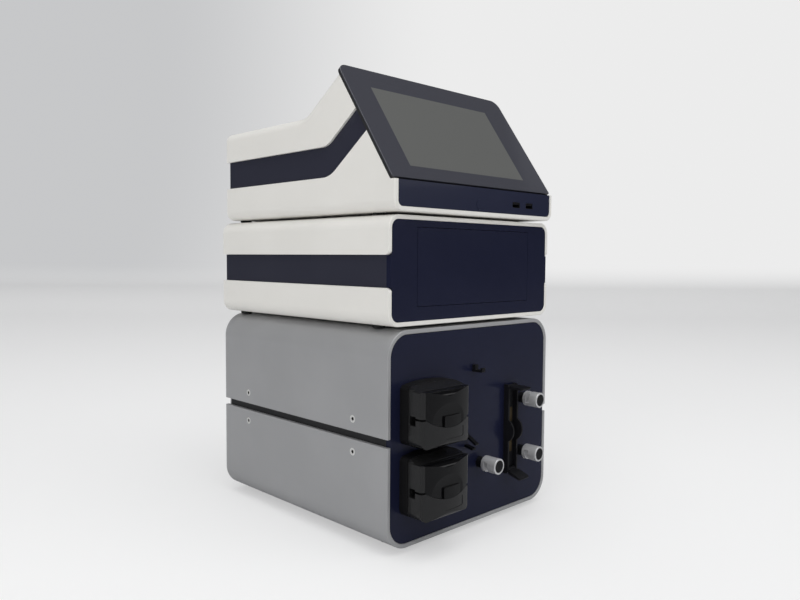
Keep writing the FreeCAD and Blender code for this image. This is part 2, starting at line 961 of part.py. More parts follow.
def roller_centres(base):
    for step in range(roller_count):
        turn = math.radians(90 + step * 360 / roller_count)
        yield pump_x + orbit_radius * math.cos(turn), base + rotor_height + orbit_radius * math.sin(turn)


def rotor_depths():
    """Y of the rotor's back face, of the front of its back plate, of its front plate and its face."""
    back = -pump_back_wall - rotor_back_gap
    face = -pump_front_depth + lid_thickness + rotor_front_gap
    return back, back - rotor_plate, face + rotor_plate, face


def rotor_plate_outline(base):
    axis_z = base + rotor_height
    reach = orbit_radius + 2 * rotor_plate_corner
    corners = []
    for step in range(roller_count):
        turn = math.radians(90 + step * 360 / roller_count)
        corners.append((pump_x + reach * math.cos(turn), axis_z + reach * math.sin(turn),
                        rotor_plate_corner))
    return corners


def pump_rotor(base):
    """Two lobed plates on a hub and shaft, joined by the pins that the rollers turn on."""
    axis_z = base + rotor_height
    back, back_inner, front_inner, face = rotor_depths()
    corners = rotor_plate_outline(base)
    pieces = [front_prism(corners, back_inner, back), front_prism(corners, face, front_inner),
              rod_y(pump_x, axis_z, rotor_hub_radius, face, back),
              rod_y(pump_x, axis_z, rotor_cap_radius, face - rotor_cap, face),
              rod_y(pump_x, axis_z, rotor_shaft_radius, back,
                    flow_panel_thickness + motor_shaft_depth)]
    pieces += [rod_y(x, z, roller_pin_radius, face, back) for x, z in roller_centres(base)]
    return join(pieces)


def pump_roller(x, z):
    """Roller with a bore for its pin and shallow rims."""
    back, back_inner, front_inner, face = rotor_depths()
    y0, y1 = front_inner + running, back_inner - running
    roller = rod_y(x, z, roller_radius, y0, y1)
    ends = edges_where(roller, at_y(y0)) + edges_where(roller, at_y(y1))
    roller = roller.makeChamfer(running, ends)
    return roller.cut(rod_y(x, z, roller_pin_radius + shaft_play, y0 - overrun, y1 + overrun))


def pump_motors():
    """Gear motors behind the panel, each with a blind bore for its rotor's shaft."""
    motors = []
    y0 = flow_panel_thickness
    y1 = y0 + motor_flange_thickness
    y2 = y1 + motor_length
    for base in pump_bases().values():
        z = base + rotor_height
        half = motor_flange / 2
        pieces = [front_prism(rectangle(pump_x - half, pump_x + half, z - half, z + half,
                                        motor_flange_radius), y0, y1),
                  rod_y(pump_x, z, motor_radius, y1, y2),
                  rod_y(pump_x, z, motor_tail_radius, y2, y2 + motor_tail)]
        bore = rod_y(pump_x, z, rotor_shaft_radius + shaft_play, y0 - overrun,
                     y0 + motor_shaft_depth + running)
        motors.append(join(pieces).cut(bore))
    return Part.makeCompound(motors)


# Pinch valves


def valve_slot_side(name):
    """The upper valve takes its tube from above, the two lower ones from below."""
    return UP if name.endswith("high") else DOWN


def valve_slot_ends():
    """Y of the slot wall beside the base ring and of the slot's outer wall."""
    inner = -valve_head_start - valve_base_ring
    return inner, inner - valve_slot


def valve_heads():
    """Bright valve heads with a tube slot cut in from above or below and a bore for the plunger."""
    heads = []
    inner, outer = valve_slot_ends()
    for name, x, z in valve_places():
        head = rod_y(x, z, valve_radius, -valve_reach, -valve_head_start)
        rims = edges_where(head, at_y(-valve_reach)) + edges_where(head, at_y(-valve_head_start))
        head = head.makeChamfer(valve_chamfer, rims)
        opens = valve_slot_side(name)
        z0, z1 = sorted((z - opens * valve_slot_floor, z + opens * 2 * valve_radius))
        tools = [box(x - 2 * valve_radius, x + 2 * valve_radius, outer, inner, z0, z1),
                 rod_y(x, z, plunger_radius + shaft_play, inner - tiny, 0),
                 rod_y(x, z, valve_cap_radius + seat, -valve_reach - overrun,
                       -valve_reach + valve_cap_recess + valve_cap_depth)]
        heads.append(cut_all(head, tools))
    return Part.makeCompound(heads)


def valve_inserts():
    """Black collars that carry the heads through the panel, and the dark discs in their ends."""
    inserts = []
    for name, x, z in valve_places():
        collar = rod_y(x, z, valve_collar_radius, -valve_head_start, flow_panel_thickness)
        inserts.append(collar.cut(rod_y(x, z, plunger_radius + shaft_play, -valve_head_start - overrun,
                                        flow_panel_thickness + overrun)))
        start = -valve_reach + valve_cap_recess
        inserts.append(rod_y(x, z, valve_cap_radius, start, start + valve_cap_depth))
    return Part.makeCompound(inserts)


def valve_plunger(x, z):
    """Plunger whose tip is level with the slot's inner wall when the valve is open."""
    inner, outer = valve_slot_ends()
    plunger = rod_y(x, z, plunger_radius, inner, flow_panel_thickness + plunger_tail)
    return plunger.makeChamfer(valve_chamfer, edges_where(plunger, at_y(inner)))


def valve_solenoids():
    solenoids = []
    half = solenoid_width / 2
    for name, x, z in valve_places():
        y0, y1 = flow_panel_thickness, flow_panel_thickness + solenoid_length
        coil = front_prism(rectangle(x - half, x + half, z - half, z + half, solenoid_radius), y0, y1)
        solenoids.append(coil.cut(rod_y(x, z, plunger_radius + shaft_play, y0 - overrun,
                                        y0 + plunger_tail + running)))
    return Part.makeCompound(solenoids)


# Cartridge dock


def dock_pivot_y():
    return -dock_rail + dock_lug_radius()


def dock_lug_radius():
    return dock_rail / 2


def dock_sides():
    """X of the outer and inner faces of the dock's two walls."""
    left, right = dock_x - dock_width / 2, dock_x + dock_width / 2
    return left, left + dock_wall, right - dock_wall, right


def dock_channel():
    """Upright channel whose two walls swell into half discs at the cartridge's middle."""
    low, high = flow_base + dock_low_z, flow_base + dock_high_z
    lug = dock_lug_radius()
    x0, x1, x2, x3 = dock_sides()
    pieces = []
    for a, b in ((x0, x1), (x2, x3)):
        rail = side_prism(rectangle(-dock_rail, 0, low - lug, high + lug, lug), a, b)
        foot_block = box(a, b, -lug, 0, low - lug, high + lug)
        ear = rod_x(0, flow_base + dock_ear_z, dock_ear_radius, a, b)
        ear = ear.common(box(a, b, -dock_ear_radius - overrun, 0, low, high))
        pieces += [rail, foot_block, ear]
    pieces.append(box(x1, x2, -dock_base, 0, low + lug + running, high - lug - running))
    holes = [rod_x(dock_pivot_y(), z, dock_pin_radius + shaft_play, x0 - overrun, x3 + overrun)
             for z in (low, high)]
    return cut_all(join(pieces), holes)


def dock_contacts():
    """Two contact pads on the floor of the channel."""
    pads = []
    z = flow_base + dock_ear_z
    for side in (LEFT, RIGHT):
        z0, z1 = sorted((z + side * contact_gap / 2, z + side * (contact_gap / 2 + contact_length)))
        pads.append(front_prism(rectangle(dock_x - contact_width / 2, dock_x + contact_width / 2, z0, z1,
                                          contact_thickness), -dock_base - contact_thickness, -dock_base))
    return Part.makeCompound(pads)


def dock_paddle(z, tilt):
    """Paddle on a pinned barrel that points forwards from the dock, turned down by tilt."""
    y = dock_pivot_y()
    x0, x1, x2, x3 = dock_sides()
    half = dock_barrel_radius
    neck = y - paddle_neck
    reach = y - paddle_reach
    thick, thin = paddle_thickness / 2, paddle_tip_thickness / 2
    side = [(y, z - thick, 0), (neck, z - thick, 0), (reach, z - thin, paddle_tip_radius),
            (reach, z + thin, paddle_tip_radius), (neck, z + thick, 0), (y, z + thick, 0)]
    plan = [(x1 + running, y, 0), (x1 + running, neck, 0), (x0, neck, 0), (x0, reach, paddle_corner),
            (x3, reach, paddle_corner), (x3, neck, 0), (x2 - running, neck, 0), (x2 - running, y, 0)]
    blade = side_prism(side, x0 - overrun, x3 + overrun).common(top_prism(plan, z - half, z + half))
    pieces = [blade, rod_x(y, z, half, x1 + running, x2 - running),
              rod_x(y, z, dock_pin_radius, x0, x3)]
    paddle = join(pieces)
    paddle.rotate(V(0, y, z), X_AXIS, tilt)
    return paddle


# Tube clips


def clip_hook(x, z):
    """Hook with a low arm that turns up at its tip."""
    half = clip_height / 2
    arm = z - half + clip_arm
    corners = [(0, z - half, 0), (-clip_reach, z - half, clip_arm - clip_radius),
               (-clip_reach, arm + clip_tip, clip_radius),
               (-clip_reach + clip_arm, arm + clip_tip, clip_radius),
               (-clip_reach + clip_arm, arm, clip_radius), (-clip_foot, arm, clip_radius),
               (-clip_foot, z + half, 0), (0, z + half, 0)]
    return side_prism(corners, x - clip_width / 2, x + clip_width / 2)


def clip_finger(x, z, ends):
    """Slanting finger of the middle clip, from its root on the panel to its tip."""
    (root_y, root_z), (tip_y, tip_z) = ends
    half = finger_thickness / 2
    corners = [(root_y, z + root_z - half, 0), (tip_y, z + tip_z - half, clip_radius),
               (tip_y, z + tip_z + half, clip_radius), (root_y, z + root_z + half, 0)]
    return side_prism(corners, x - clip_width / 2, x + clip_width / 2)


def tube_clips():
    """Two hooks and a pair of fingers that hold tubes in front of the panel."""
    clips = []
    for name, (x, height) in clip_places.items():
        z = flow_base + height
        if name == "middle":
            clips += [clip_finger(x, z, upper_finger), clip_finger(x, z, lower_finger)]
        else:
            clips.append(clip_hook(x, z))
    return Part.makeCompound(clips)


# Inner pieces of the flow unit


def board_on_posts(x0, x1, y0, y1, floor):
    """Circuit board on four posts that stand on the floor."""
    top = floor + board_post_height
    posts = [rod_z(x, y, board_post_radius, floor, top) for x in (x0 + board_inset, x1 - board_inset)
             for y in (y0 + board_inset, y1 - board_inset)]
    return join(posts + [box(x0, x1, y0, y1, top, top + board_thickness)])


def pulse_generator():
    """Pulse board with its bank of storage capacitors and two chokes."""
    floor = flow_base + flow_wall + seat + chassis_wall
    x0, x1 = -generator_width / 2, generator_width / 2
    y0, y1 = generator_y, generator_y + generator_depth
    pieces = [board_on_posts(x0, x1, y0, y1, floor)]
    top = floor + board_post_height + board_thickness
    first_x = x0 + board_inset + 2 * capacitor_radius
    first_y = y0 + board_inset + capacitor_radius
    for column in range(capacitor_columns):
        for row in range(capacitor_rows):
            pieces.append(rod_z(first_x + column * capacitor_pitch, first_y + row * capacitor_pitch,
                                capacitor_radius, top, top + capacitor_height))
    choke_y = first_y + capacitor_rows * capacitor_pitch
    for step in (0, 2):
        x = first_x + step * capacitor_pitch
        pieces.append(box(x, x + choke_width, choke_y, choke_y + choke_width / 2, top, top + choke_height))
    return Part.makeCompound(pieces)


# Link sockets


def link_socket(x, z, back):
    """Flanged socket: the flange lies on the panel and the shell stands out of it."""
    flange = front_prism(rectangle(x - link_width / 2, x + link_width / 2, z - link_height / 2,
                                   z + link_height / 2, link_flange), back, back + link_flange)
    half_width, half_height = link_shell_width / 2, link_shell_height / 2
    shell = front_prism(rectangle(x - half_width, x + half_width, z - half_height, z + half_height,
                                  link_shell_radius), back - link_depth, back + link_shell_length)
    wall = link_shell_wall
    well = front_prism(rectangle(x - half_width + wall, x + half_width - wall, z - half_height + wall,
                                 z + half_height - wall, link_shell_radius - wall),
                       back + link_flange, back + link_shell_length + overrun)
    core = front_prism(rectangle(x - half_width + 2 * wall, x + half_width - 2 * wall,
                                 z - half_height + 2 * wall, z + half_height - 2 * wall,
                                 link_shell_radius - 2 * wall), back, back + link_core_length)
    return join([join([flange, shell]).cut(well), core])


def link_sockets():
    backs = ((flow_base, flow_back()), (bay_base, bay_back()), (screen_base, screen_back()))
    sockets = [link_socket(x, z, back) for base, back in backs for x, z in link_places(base)]
    return Part.makeCompound(sockets)


# Drawer unit


def bay_back():
    return bay_depth - back_inset


def bay_shells():
    """Upper and lower white shell; the bands show between them on both sides."""
    z0, z1 = bay_base, bay_base + bay_height
    front = -flow_rim
    ring = open_tube(bay_width, z0, z1, bay_edge_radius, bay_wall, front, bay_depth)
    ring = ring.makeChamfer(shell_chamfer, edges_where(ring, at_y(front)))
    half = bay_width / 2 + overrun
    shells = []
    for low, high, seam in ((bay_base + bay_band_high, z1 + overrun, bay_base + bay_band_high),
                            (z0 - overrun, bay_base + bay_band_low, bay_base + bay_band_low)):
        reach = bay_nose_radius + front
        shell = ring.common(box(-half, half, front - overrun, bay_depth + overrun, low, high))
        inward = RIGHT if seam == low else LEFT
        corner = box(-half, half, front - overrun, reach, min(seam, seam + inward * bay_nose_radius),
                     max(seam, seam + inward * bay_nose_radius))
        middle = seam + inward * bay_nose_radius
        corner = corner.cut(rod_x(reach, middle, bay_nose_radius, -half - overrun, half + overrun))
        shells.append(shell.cut(corner))
    top, bottom = shells
    posts = []
    for side in (LEFT, RIGHT):
        posts.append(rod_z(side * head_post_pitch / 2, head_post_y, head_post_radius,
                           bay_base + head_z - head_travel - overrun, z1 - bay_wall + tiny))
    return join([top] + posts), bottom


def bay_front_panel():
    """Front plate with the drawer's mouth; tongues at its sides meet the bands."""
    z0, z1 = bay_base, bay_base + bay_height
    plate = inner_plate(bay_width, z0, z1, bay_edge_radius, bay_wall, 0, bay_panel_thickness)
    reach = bay_width / 2 - band_recess
    tongue = box(-reach, reach, 0, bay_panel_thickness, bay_base + bay_band_low + seat,
                 bay_base + bay_band_high - seat)
    mouth = front_prism(rectangle(-drawer_width / 2, drawer_width / 2, bay_base + drawer_low,
                                  bay_base + drawer_high, drawer_corner),
                        -overrun, bay_panel_thickness + overrun)
    return join([plate, tongue]).cut(mouth)


def band_notches(width, low, high, back):
    """Cuts that let the bands run past the sides of a rear panel."""
    notches = []
    for side in (LEFT, RIGHT):
        x0, x1 = sorted((side * (width / 2 - band_recess - band_thickness - seat), side * width))
        notches.append(box(x0, x1, back - back_thickness - overrun, back + overrun, low, high))
    return notches


def bay_rear_panel():
    back = bay_back()
    plate = inner_plate(bay_width, bay_base, bay_base + bay_height, bay_edge_radius, bay_wall,
                        back - back_thickness, back)
    tools = link_openings(bay_base, back) + vents(-link_x, bay_base + bay_height / 2, back)
    tools += band_notches(bay_width, bay_base + bay_band_low, bay_base + bay_band_high, back)
    return cut_all(plate, tools)


def bay_floor():
    return bay_base + bay_wall


def drawer_front():
    """Plate that closes the drawer's mouth, level with the panel."""
    half = drawer_width / 2 - drawer_gap
    return front_prism(rectangle(-half, half, bay_base + drawer_low + drawer_gap,
                                 bay_base + drawer_high - drawer_gap, drawer_corner),
                       0, bay_panel_thickness)


def rack_pitch_z():
    return bay_base + tray_floor_z - rack_bar - tooth_root_share * tooth_module


def pinion_pitch_radius():
    return pinion_teeth * tooth_module / 2


def pinion_axis():
    return pinion_y, rack_pitch_z() - pinion_pitch_radius() - tooth_backlash / 2


def rack_tooth(y):
    """Straight-flanked tooth that points down, narrower than half the pitch by the backlash."""
    z = rack_pitch_z()
    half = math.pi * tooth_module / 4 - tooth_backlash / 2
    slope = math.tan(math.radians(flank_angle))
    up, down = tooth_root_share * tooth_module, tooth_module - tooth_backlash / 2
    corners = [(y - half - up * slope, z + up, 0), (y - half + down * slope, z - down, 0),
               (y + half - down * slope, z - down, 0), (y + half + up * slope, z + up, 0)]
    return side_prism(corners, rack_x - pinion_width / 2, rack_x + pinion_width / 2)


def drawer_tray():
    """Tray behind the drawer's front with its side runners and the rack under its floor."""
    z0 = bay_base + tray_floor_z
    z1 = z0 + tray_floor
    top = z0 + tray_height
    y0, y1 = bay_panel_thickness, bay_panel_thickness + tray_length
    half = tray_width / 2
    tray = top_prism([(-half, y0, 0), (half, y0, 0), (half, y1, tray_corner), (-half, y1, tray_corner)],
                     z0, top)
    wall = tray_wall
    well = top_prism(rectangle(-half + wall, half - wall, y0 + wall, y1 - wall, tray_corner - wall),
                     z1, top + overrun)
    pieces = [tray.cut(well)]
    runner_low = bay_base + runner_z
    for side in (LEFT, RIGHT):
        x0, x1 = sorted((side * half, side * (half + runner_width)))
        pieces.append(box(x0, x1, y0, y1 - tray_corner, runner_low, runner_low + runner_height))
    rack_low = z0 - rack_bar
    pieces.append(box(rack_x - pinion_width / 2, rack_x + pinion_width / 2,
                      rack_start - tooth_module, rack_end() + tooth_module, rack_low, z0))
    pitch = math.pi * tooth_module
    for step in range(rack_teeth):
        pieces.append(rack_tooth(pinion_y + (step + rack_first()) * pitch))
    return join(pieces)


def rack_first():
    """Place of the first tooth beside the pinion's axis, in half-open pitches."""
    return math.ceil((rack_start - pinion_y) / (math.pi * tooth_module)) + 0.5


def rack_end():
    return pinion_y + (rack_first() + rack_teeth - 0.5) * math.pi * tooth_module


def drawer_rails():
    """Two channels on the floor that the tray's runners slide in."""
    rails = []
    y0 = bay_panel_thickness + running
    y1 = y0 + rail_length
    floor = bay_floor()
    low = bay_base + runner_z - running
    high = bay_base + runner_z + runner_height + running
    inner = tray_width / 2 + running + seat
    web = tray_width / 2 + runner_width + running
    for side in (LEFT, RIGHT):
        pieces = []
        for a, b, z0, z1 in ((web, web + rail_web, floor, high + rail_flange),
                             (inner, web, low - rail_flange, low), (inner, web, high, high + rail_flange),
                             (web, web + rail_foot, floor, floor + rail_flange)):
            x0, x1 = sorted((side * a, side * b))
            pieces.append(box(x0, x1, y0, y1, z0, z1))
        rails.append(join(pieces))
    return Part.makeCompound(rails)


def carrier_floor():
    return bay_base + tray_floor_z + tray_floor


def cuvette_carrier():
    """Block in the tray with two cuvette wells and a stepped well for a strip of small tubes."""
    z0 = carrier_floor()
    z1 = z0 + carrier_height
    y0, y1 = carrier_y, carrier_y + carrier_length
    half = carrier_width / 2
    block = top_prism(rectangle(-half, half, y0, y1, tray_corner - tray_wall), z0, z1)
    middle = (y0 + y1) / 2
    tools = []
    for step in (LEFT, RIGHT):
        y = middle + step * cuvette_pitch / 2
        tools.append(top_prism(rectangle(cuvette_x - cuvette_width / 2, cuvette_x + cuvette_width / 2,
                                         y - cuvette_width / 2, y + cuvette_width / 2, running),
                               z1 - cuvette_depth, z1 + overrun))
    for grow, depth in ((0, cuvette_depth), (strip_lip, strip_lip)):
        tools.append(top_prism(rectangle(strip_x - strip_width / 2 - grow, strip_x + strip_width / 2 + grow,
                                         middle - strip_length / 2 - grow, middle + strip_length / 2 + grow,
                                         running + grow), z1 - depth, z1 + overrun))
    return cut_all(block, tools)


def drawer_pinion():
    """Pinion that meshes with the tray's rack, on its shaft."""
    y, z = pinion_axis()
    pitch_radius = pinion_pitch_radius()
    root = pitch_radius - tooth_root_share * tooth_module
    tip = pitch_radius + tooth_module - tooth_backlash / 2
    x0, x1 = rack_x - pinion_width / 2, rack_x + pinion_width / 2
    pieces = [rod_x(y, z, root, x0, x1)]
    slice_angle = 360 / pinion_teeth
    wide = slice_angle / 4 * pitch_radius / root * pinion_root_share
    narrow = slice_angle / 4 * pinion_tip_share
    middle = slice_angle / 4 - math.degrees(tooth_backlash / 2 / pitch_radius)
    for step in range(pinion_teeth):
        turn = 90 + step * slice_angle
        ring = ((root - tooth_backlash, wide), (pitch_radius, middle), (tip, narrow))
        sides = []
        for radius, spread in ring:
            angle = math.radians(turn - spread)
            sides.append((y + radius * math.cos(angle), z + radius * math.sin(angle), 0))
        for radius, spread in reversed(ring):
            angle = math.radians(turn + spread)
            sides.append((y + radius * math.cos(angle), z + radius * math.sin(angle), 0))
        pieces.append(side_prism(sides, x0, x1))
    pieces.append(rod_x(y, z, pinion_shaft_radius, x1, x1 + pinion_width))
    return join(pieces)


def drawer_motor():
    """Small gear motor on a foot; the pinion's shaft runs in its bore."""
    y, z = pinion_axis()
    x0 = rack_x + pinion_width / 2 + running
    x1 = x0 + gearmotor_length
    body = rod_x(y, z, gearmotor_radius, x0, x1)
    foot_block = box(x0, x1, y - gearmotor_radius, y + gearmotor_radius, bay_floor(),
                     bay_floor() + gearmotor_foot)
    cradle = box(x0, x1, y - gearmotor_radius / 2, y + gearmotor_radius / 2, bay_floor(), z)
    bore = rod_x(y, z, pinion_shaft_radius + shaft_play, x0 - overrun, x0 + pinion_width + running)
    return join([body, foot_block, cradle]).cut(bore)


def contact_head():
    """Plate with two rows of contact probes that slides down on two posts."""
    z0 = bay_base + head_z
    y0, y1 = head_post_y - head_length / 2, head_post_y + head_length / 2
    plate = top_prism(rectangle(-head_width / 2, head_width / 2, y0, y1, tray_corner),
                      z0, z0 + head_thickness)
    pieces = [plate]
    for row in range(probe_rows):
        for column in range(probe_columns):
            x = strip_x + (row - (probe_rows - 1) / 2) * probe_pitch
            y = head_post_y + (column - (probe_columns - 1) / 2) * probe_pitch
            pieces.append(rod_z(x, y, probe_radius, z0 - probe_length, z0))
    holes = [rod_z(side * head_post_pitch / 2, head_post_y, head_post_radius + shaft_play,
                   z0 - overrun, z0 + head_thickness + overrun) for side in (LEFT, RIGHT)]
    return cut_all(join(pieces), holes)


# Screen unit


def slab_point(rise, depth):
    """Y and Z of a point on the slab: rise up its face, depth in behind the face."""
    tilt = math.radians(slab_tilt)
    y = slab_foot_y + rise * math.sin(tilt) + depth * math.cos(tilt)
    z = screen_base + slab_foot_z + rise * math.cos(tilt) - depth * math.sin(tilt)
    return y, z


def on_slab(shape):
    """Moves a shape modelled upright, with its face on Y zero, onto the sloping screen."""
    shape.rotate(V(0, 0, 0), X_AXIS, -slab_tilt)
    shape.translate(V(0, slab_foot_y, screen_base + slab_foot_z))
    return shape


def slope_corners(inset, front, back):
    """Side view of the screen unit, drawn in by inset, before the slab's plane cuts its front."""
    angle = math.radians(slope_angle)
    height = screen_unit_height
    knee = slope_peak_y + (slope_peak_z - height) / math.tan(angle) - inset * math.tan(angle / 2)
    rise = slope_peak_z - height
    far = knee - 2 * rise / math.tan(angle)
    return [(front, screen_base + inset, 0), (back, screen_base + inset, 0),
            (back, screen_base + height - inset, 0),
            (knee, screen_base + height - inset, slope_knee_radius + inset),
            (far, screen_base + height - inset + 2 * rise, 0), (front, screen_base + height + 2 * rise, 0)]


def screen_body(inset, front, back):
    """Solid of the screen unit with rounded long edges, before the slab's plane cuts it."""
    half = screen_width / 2 - inset
    body = side_prism(slope_corners(inset, front, back), -half, half)
    radius = screen_edge_radius - inset

    def on_side_edge(edge):
        points = [vertex.Point for vertex in edge.Vertexes]
        if any(abs(abs(point.x) - half) > tiny for point in points):
            return False
        if all(abs(point.y - front) < tiny for point in points):
            return False
        return not all(abs(point.y - back) < tiny for point in points)

    chain = [edge for edge in body.Edges if on_side_edge(edge) and keeps_x(edge)]
    return body.makeFillet(radius, chain)


def slab_front_space(depth):
    """Everything in front of the plane at the given depth behind the screen's face."""
    low_y, low_z = slab_point(-slab_foot_z, depth)
    shelf = screen_base + strip_top + seat
    rise = (shelf - low_z) / math.cos(math.radians(slab_tilt))
    start_y = low_y + rise * math.sin(math.radians(slab_tilt))
    top_y, top_z = slab_point(2 * slab_length, depth)
    far = -slab_length
    corners = [(start_y, shelf, 0), (top_y, top_z, 0), (far, top_z, 0), (far, shelf, 0)]
    return side_prism(corners, -screen_width, screen_width)


def band_corners(gap, back):
    """Side view of the dark band, drawn in by gap all round."""
    angle = math.radians(screen_band_angle)
    low = screen_base + screen_band_low + gap
    high = screen_base + screen_band_high - gap
    low_bend = screen_band_low_bend + gap * math.tan(angle / 2)
    high_bend = screen_band_high_bend - gap * math.tan(angle / 2)
    run = slab_length
    rise = run * math.tan(angle)
    return [(back, low, 0), (back, high, 0), (high_bend, high, screen_band_high_radius),
            (high_bend - run, high + rise, 0), (low_bend - run, low + rise, 0),
            (low_bend, low, screen_band_low_radius)]


def screen_back():
    return screen_unit_back - back_inset


def screen_shells():
    """Sloping upper shell and lower shell with the nose, split by the bands."""
    front, back = -screen_unit_front, screen_unit_back
    body = screen_body(0, front, back)
    hollow = screen_body(screen_wall, front - overrun, back + overrun)
    shell = body.cut(hollow).cut(slab_front_space(slab_thickness))
    band = side_prism(band_corners(0, back + overrun), -screen_width, screen_width)
    parts = sorted(shell.cut(band).Solids, key=lambda solid: solid.CenterOfMass.z)
    bottom, top = parts[0], parts[-1]
    nose = [edge for edge in bottom.Edges if is_nose_edge(edge, front)]
    return top, bottom.makeFillet(screen_nose_radius, nose)


def is_nose_edge(edge, front):
    """True for the outer front edges of the lower shell's nose."""
    points = [vertex.Point for vertex in edge.Vertexes]
    half = screen_width / 2
    if not all(abs(point.y - front) < tiny for point in points):
        return False
    outer_side = all(abs(abs(point.x) - half) < tiny for point in points)
    outer_floor = all(abs(point.z - screen_base) < tiny for point in points)
    bent = len(points) == 2 and edge.Length < 2 * screen_edge_radius and \
        abs(points[0].z - points[1].z) > tiny and abs(points[0].x - points[1].x) > tiny and \
        max(abs(point.x) for point in points) > half - tiny
    return outer_side or outer_floor or bent


def bay_band(side):
    reach = bay_width / 2 - band_recess
    x0, x1 = sorted((side * reach, side * (reach - band_thickness)))
    return box(x0, x1, bay_panel_thickness, bay_back(), bay_base + bay_band_low + seat,
               bay_base + bay_band_high - seat)


def screen_band(side):
    reach = screen_width / 2 - band_recess
    x0, x1 = sorted((side * reach, side * (reach - band_thickness)))
    band = side_prism(band_corners(seat, screen_back()), x0, x1)
    return band.cut(slab_front_space(slab_thickness))


def side_bands():
    bands = [maker(side) for maker in (bay_band, screen_band) for side in (LEFT, RIGHT)]
    return Part.makeCompound(bands)


def usb_places():
    return [(usb_x + side * usb_pitch / 2, screen_base + usb_z) for side in (LEFT, RIGHT)]


def usb_outline(x, z, grow):
    half_width, half_height = usb_width / 2 + grow, usb_height / 2 + grow
    return rectangle(x - half_width, x + half_width, z - half_height, z + half_height, usb_radius)


def strip_face():
    return -screen_unit_front + flow_rim


def screen_front_strip():
    """Dark strip under the screen with the button's hole and the socket openings."""
    half = screen_width / 2 - screen_wall - seat
    y0 = strip_face()
    y1 = y0 + strip_thickness
    low, high = screen_base + screen_wall + seat, screen_base + strip_top
    strip = front_prism([(-half, low, strip_corner), (half, low, strip_corner), (half, high, 0),
                         (-half, high, 0)], y0, y1)
    tools = [rod_y(button_x, screen_base + button_z, button_radius + button_gap, y0 - overrun,
                   y1 + overrun)]
    tools += [front_prism(usb_outline(x, z, seat), y0 - overrun, y1 + overrun) for x, z in usb_places()]
    return cut_all(strip, tools)


def power_button():
    """Round push button with a stem behind its cap."""
    y0 = strip_face() - button_proud
    z = screen_base + button_z
    cap = rod_y(button_x, z, button_radius, y0, strip_face() + strip_thickness - button_travel)
    stem = rod_y(button_x, z, button_stem_radius, y0 + button_proud,
                 strip_face() + strip_thickness + button_stem)
    return join([cap, stem])


def usb_sockets():
    """Sockets with a thin shell and a tongue."""
    sockets = []
    y0 = strip_face()
    y1 = y0 + usb_depth
    for x, z in usb_places():
        shell = front_prism(usb_outline(x, z, 0), y0, y1)
        well = front_prism(rectangle(x - usb_width / 2 + usb_wall, x + usb_width / 2 - usb_wall,
                                     z - usb_height / 2 + usb_wall, z + usb_height / 2 - usb_wall),
                           y0 - overrun, y1 - 2 * usb_tongue)
        tongue_top = z + usb_height / 2 - usb_wall - usb_tongue_gap
        tongue = box(x - usb_width / 2 + 2 * usb_wall, x + usb_width / 2 - 2 * usb_wall, y0 + usb_wall,
                     y1 - 2 * usb_tongue, tongue_top - usb_tongue, tongue_top)
        sockets.append(join([shell.cut(well), tongue]))
    return Part.makeCompound(sockets)


def slab_outline():
    """The sloping face: small corners at its foot, large ones at its top."""
    half = slab_width / 2
    return [(-half, 0, slab_low_corner), (half, 0, slab_low_corner), (half, slab_length, slab_corner),
            (-half, slab_length, slab_corner)]


def screen_glass():
    """Cover glass over the whole sloping face."""
    glass = front_prism(slab_outline(), 0, glass_thickness)
    glass = glass.makeChamfer(glass_chamfer, edges_where(glass, at_y(0)))
    return on_slab(glass)


def screen_frame():
    """Frame behind the glass, with a window for the display and a rim that drops into the shells."""
    plate = front_prism(slab_outline(), glass_thickness, slab_thickness)
    inner = screen_width / 2 - band_recess - band_thickness - seat
    rim = front_prism(rectangle(-inner, inner, slab_rim_low, slab_rim_high, slab_rim_corner),
                      slab_thickness, slab_thickness + slab_lip)
    hole = front_prism(rectangle(-inner + slab_lip, inner - slab_lip, slab_rim_low + slab_lip,
                                 slab_rim_high - slab_lip, slab_hole_corner),
                       slab_thickness - tiny, slab_thickness + slab_lip + overrun)
    window = front_prism(rectangle(-display_width / 2, display_width / 2, display_rise - display_height / 2,
                                   display_rise + display_height / 2, display_corner),
                         glass_thickness - overrun, slab_thickness + slab_lip + overrun)
    return on_slab(join([plate, rim.cut(hole)]).cut(window))


def display_module():
    """Display panel in the frame's window, against the glass."""
    half = display_width / 2 - seat
    low, high = display_rise - display_height / 2 + seat, display_rise + display_height / 2 - seat
    panel = front_prism(rectangle(-half, half, low, high, display_corner), glass_thickness,
                        glass_thickness + display_thickness)
    return on_slab(panel)


def screen_rear_panel():
    back = screen_back()
    plate = inner_plate(screen_width, screen_base, screen_base + screen_unit_height, screen_edge_radius,
                        screen_wall, back - back_thickness, back)
    tools = link_openings(screen_base, back) + vents(0, screen_base + screen_unit_height / 2, back)
    tools += band_notches(screen_width, screen_base + screen_band_low, screen_base + screen_band_high, back)
    y0, y1 = back - back_thickness - overrun, back + overrun
    z = screen_base + inlet_z
    tools.append(front_prism(rectangle(inlet_x - inlet_width / 2 - seat, inlet_x + inlet_width / 2 + seat,
                                       z - inlet_height / 2 - seat, z + inlet_height / 2 + seat,
                                       inlet_flange), y0, y1))
    half_width, half_height = rocker_opening()
    tools.append(front_prism(rectangle(rocker_x - half_width, rocker_x + half_width, z - half_height,
                                       z + half_height), y0, y1))
    return cut_all(plate, tools)


def rocker_opening():
    """Half width and half height of the panel's opening round the switch frame."""
    return rocker_width / 2 + running + rocker_frame / 2 + seat, \
        rocker_height / 2 + running + rocker_frame / 2 + seat


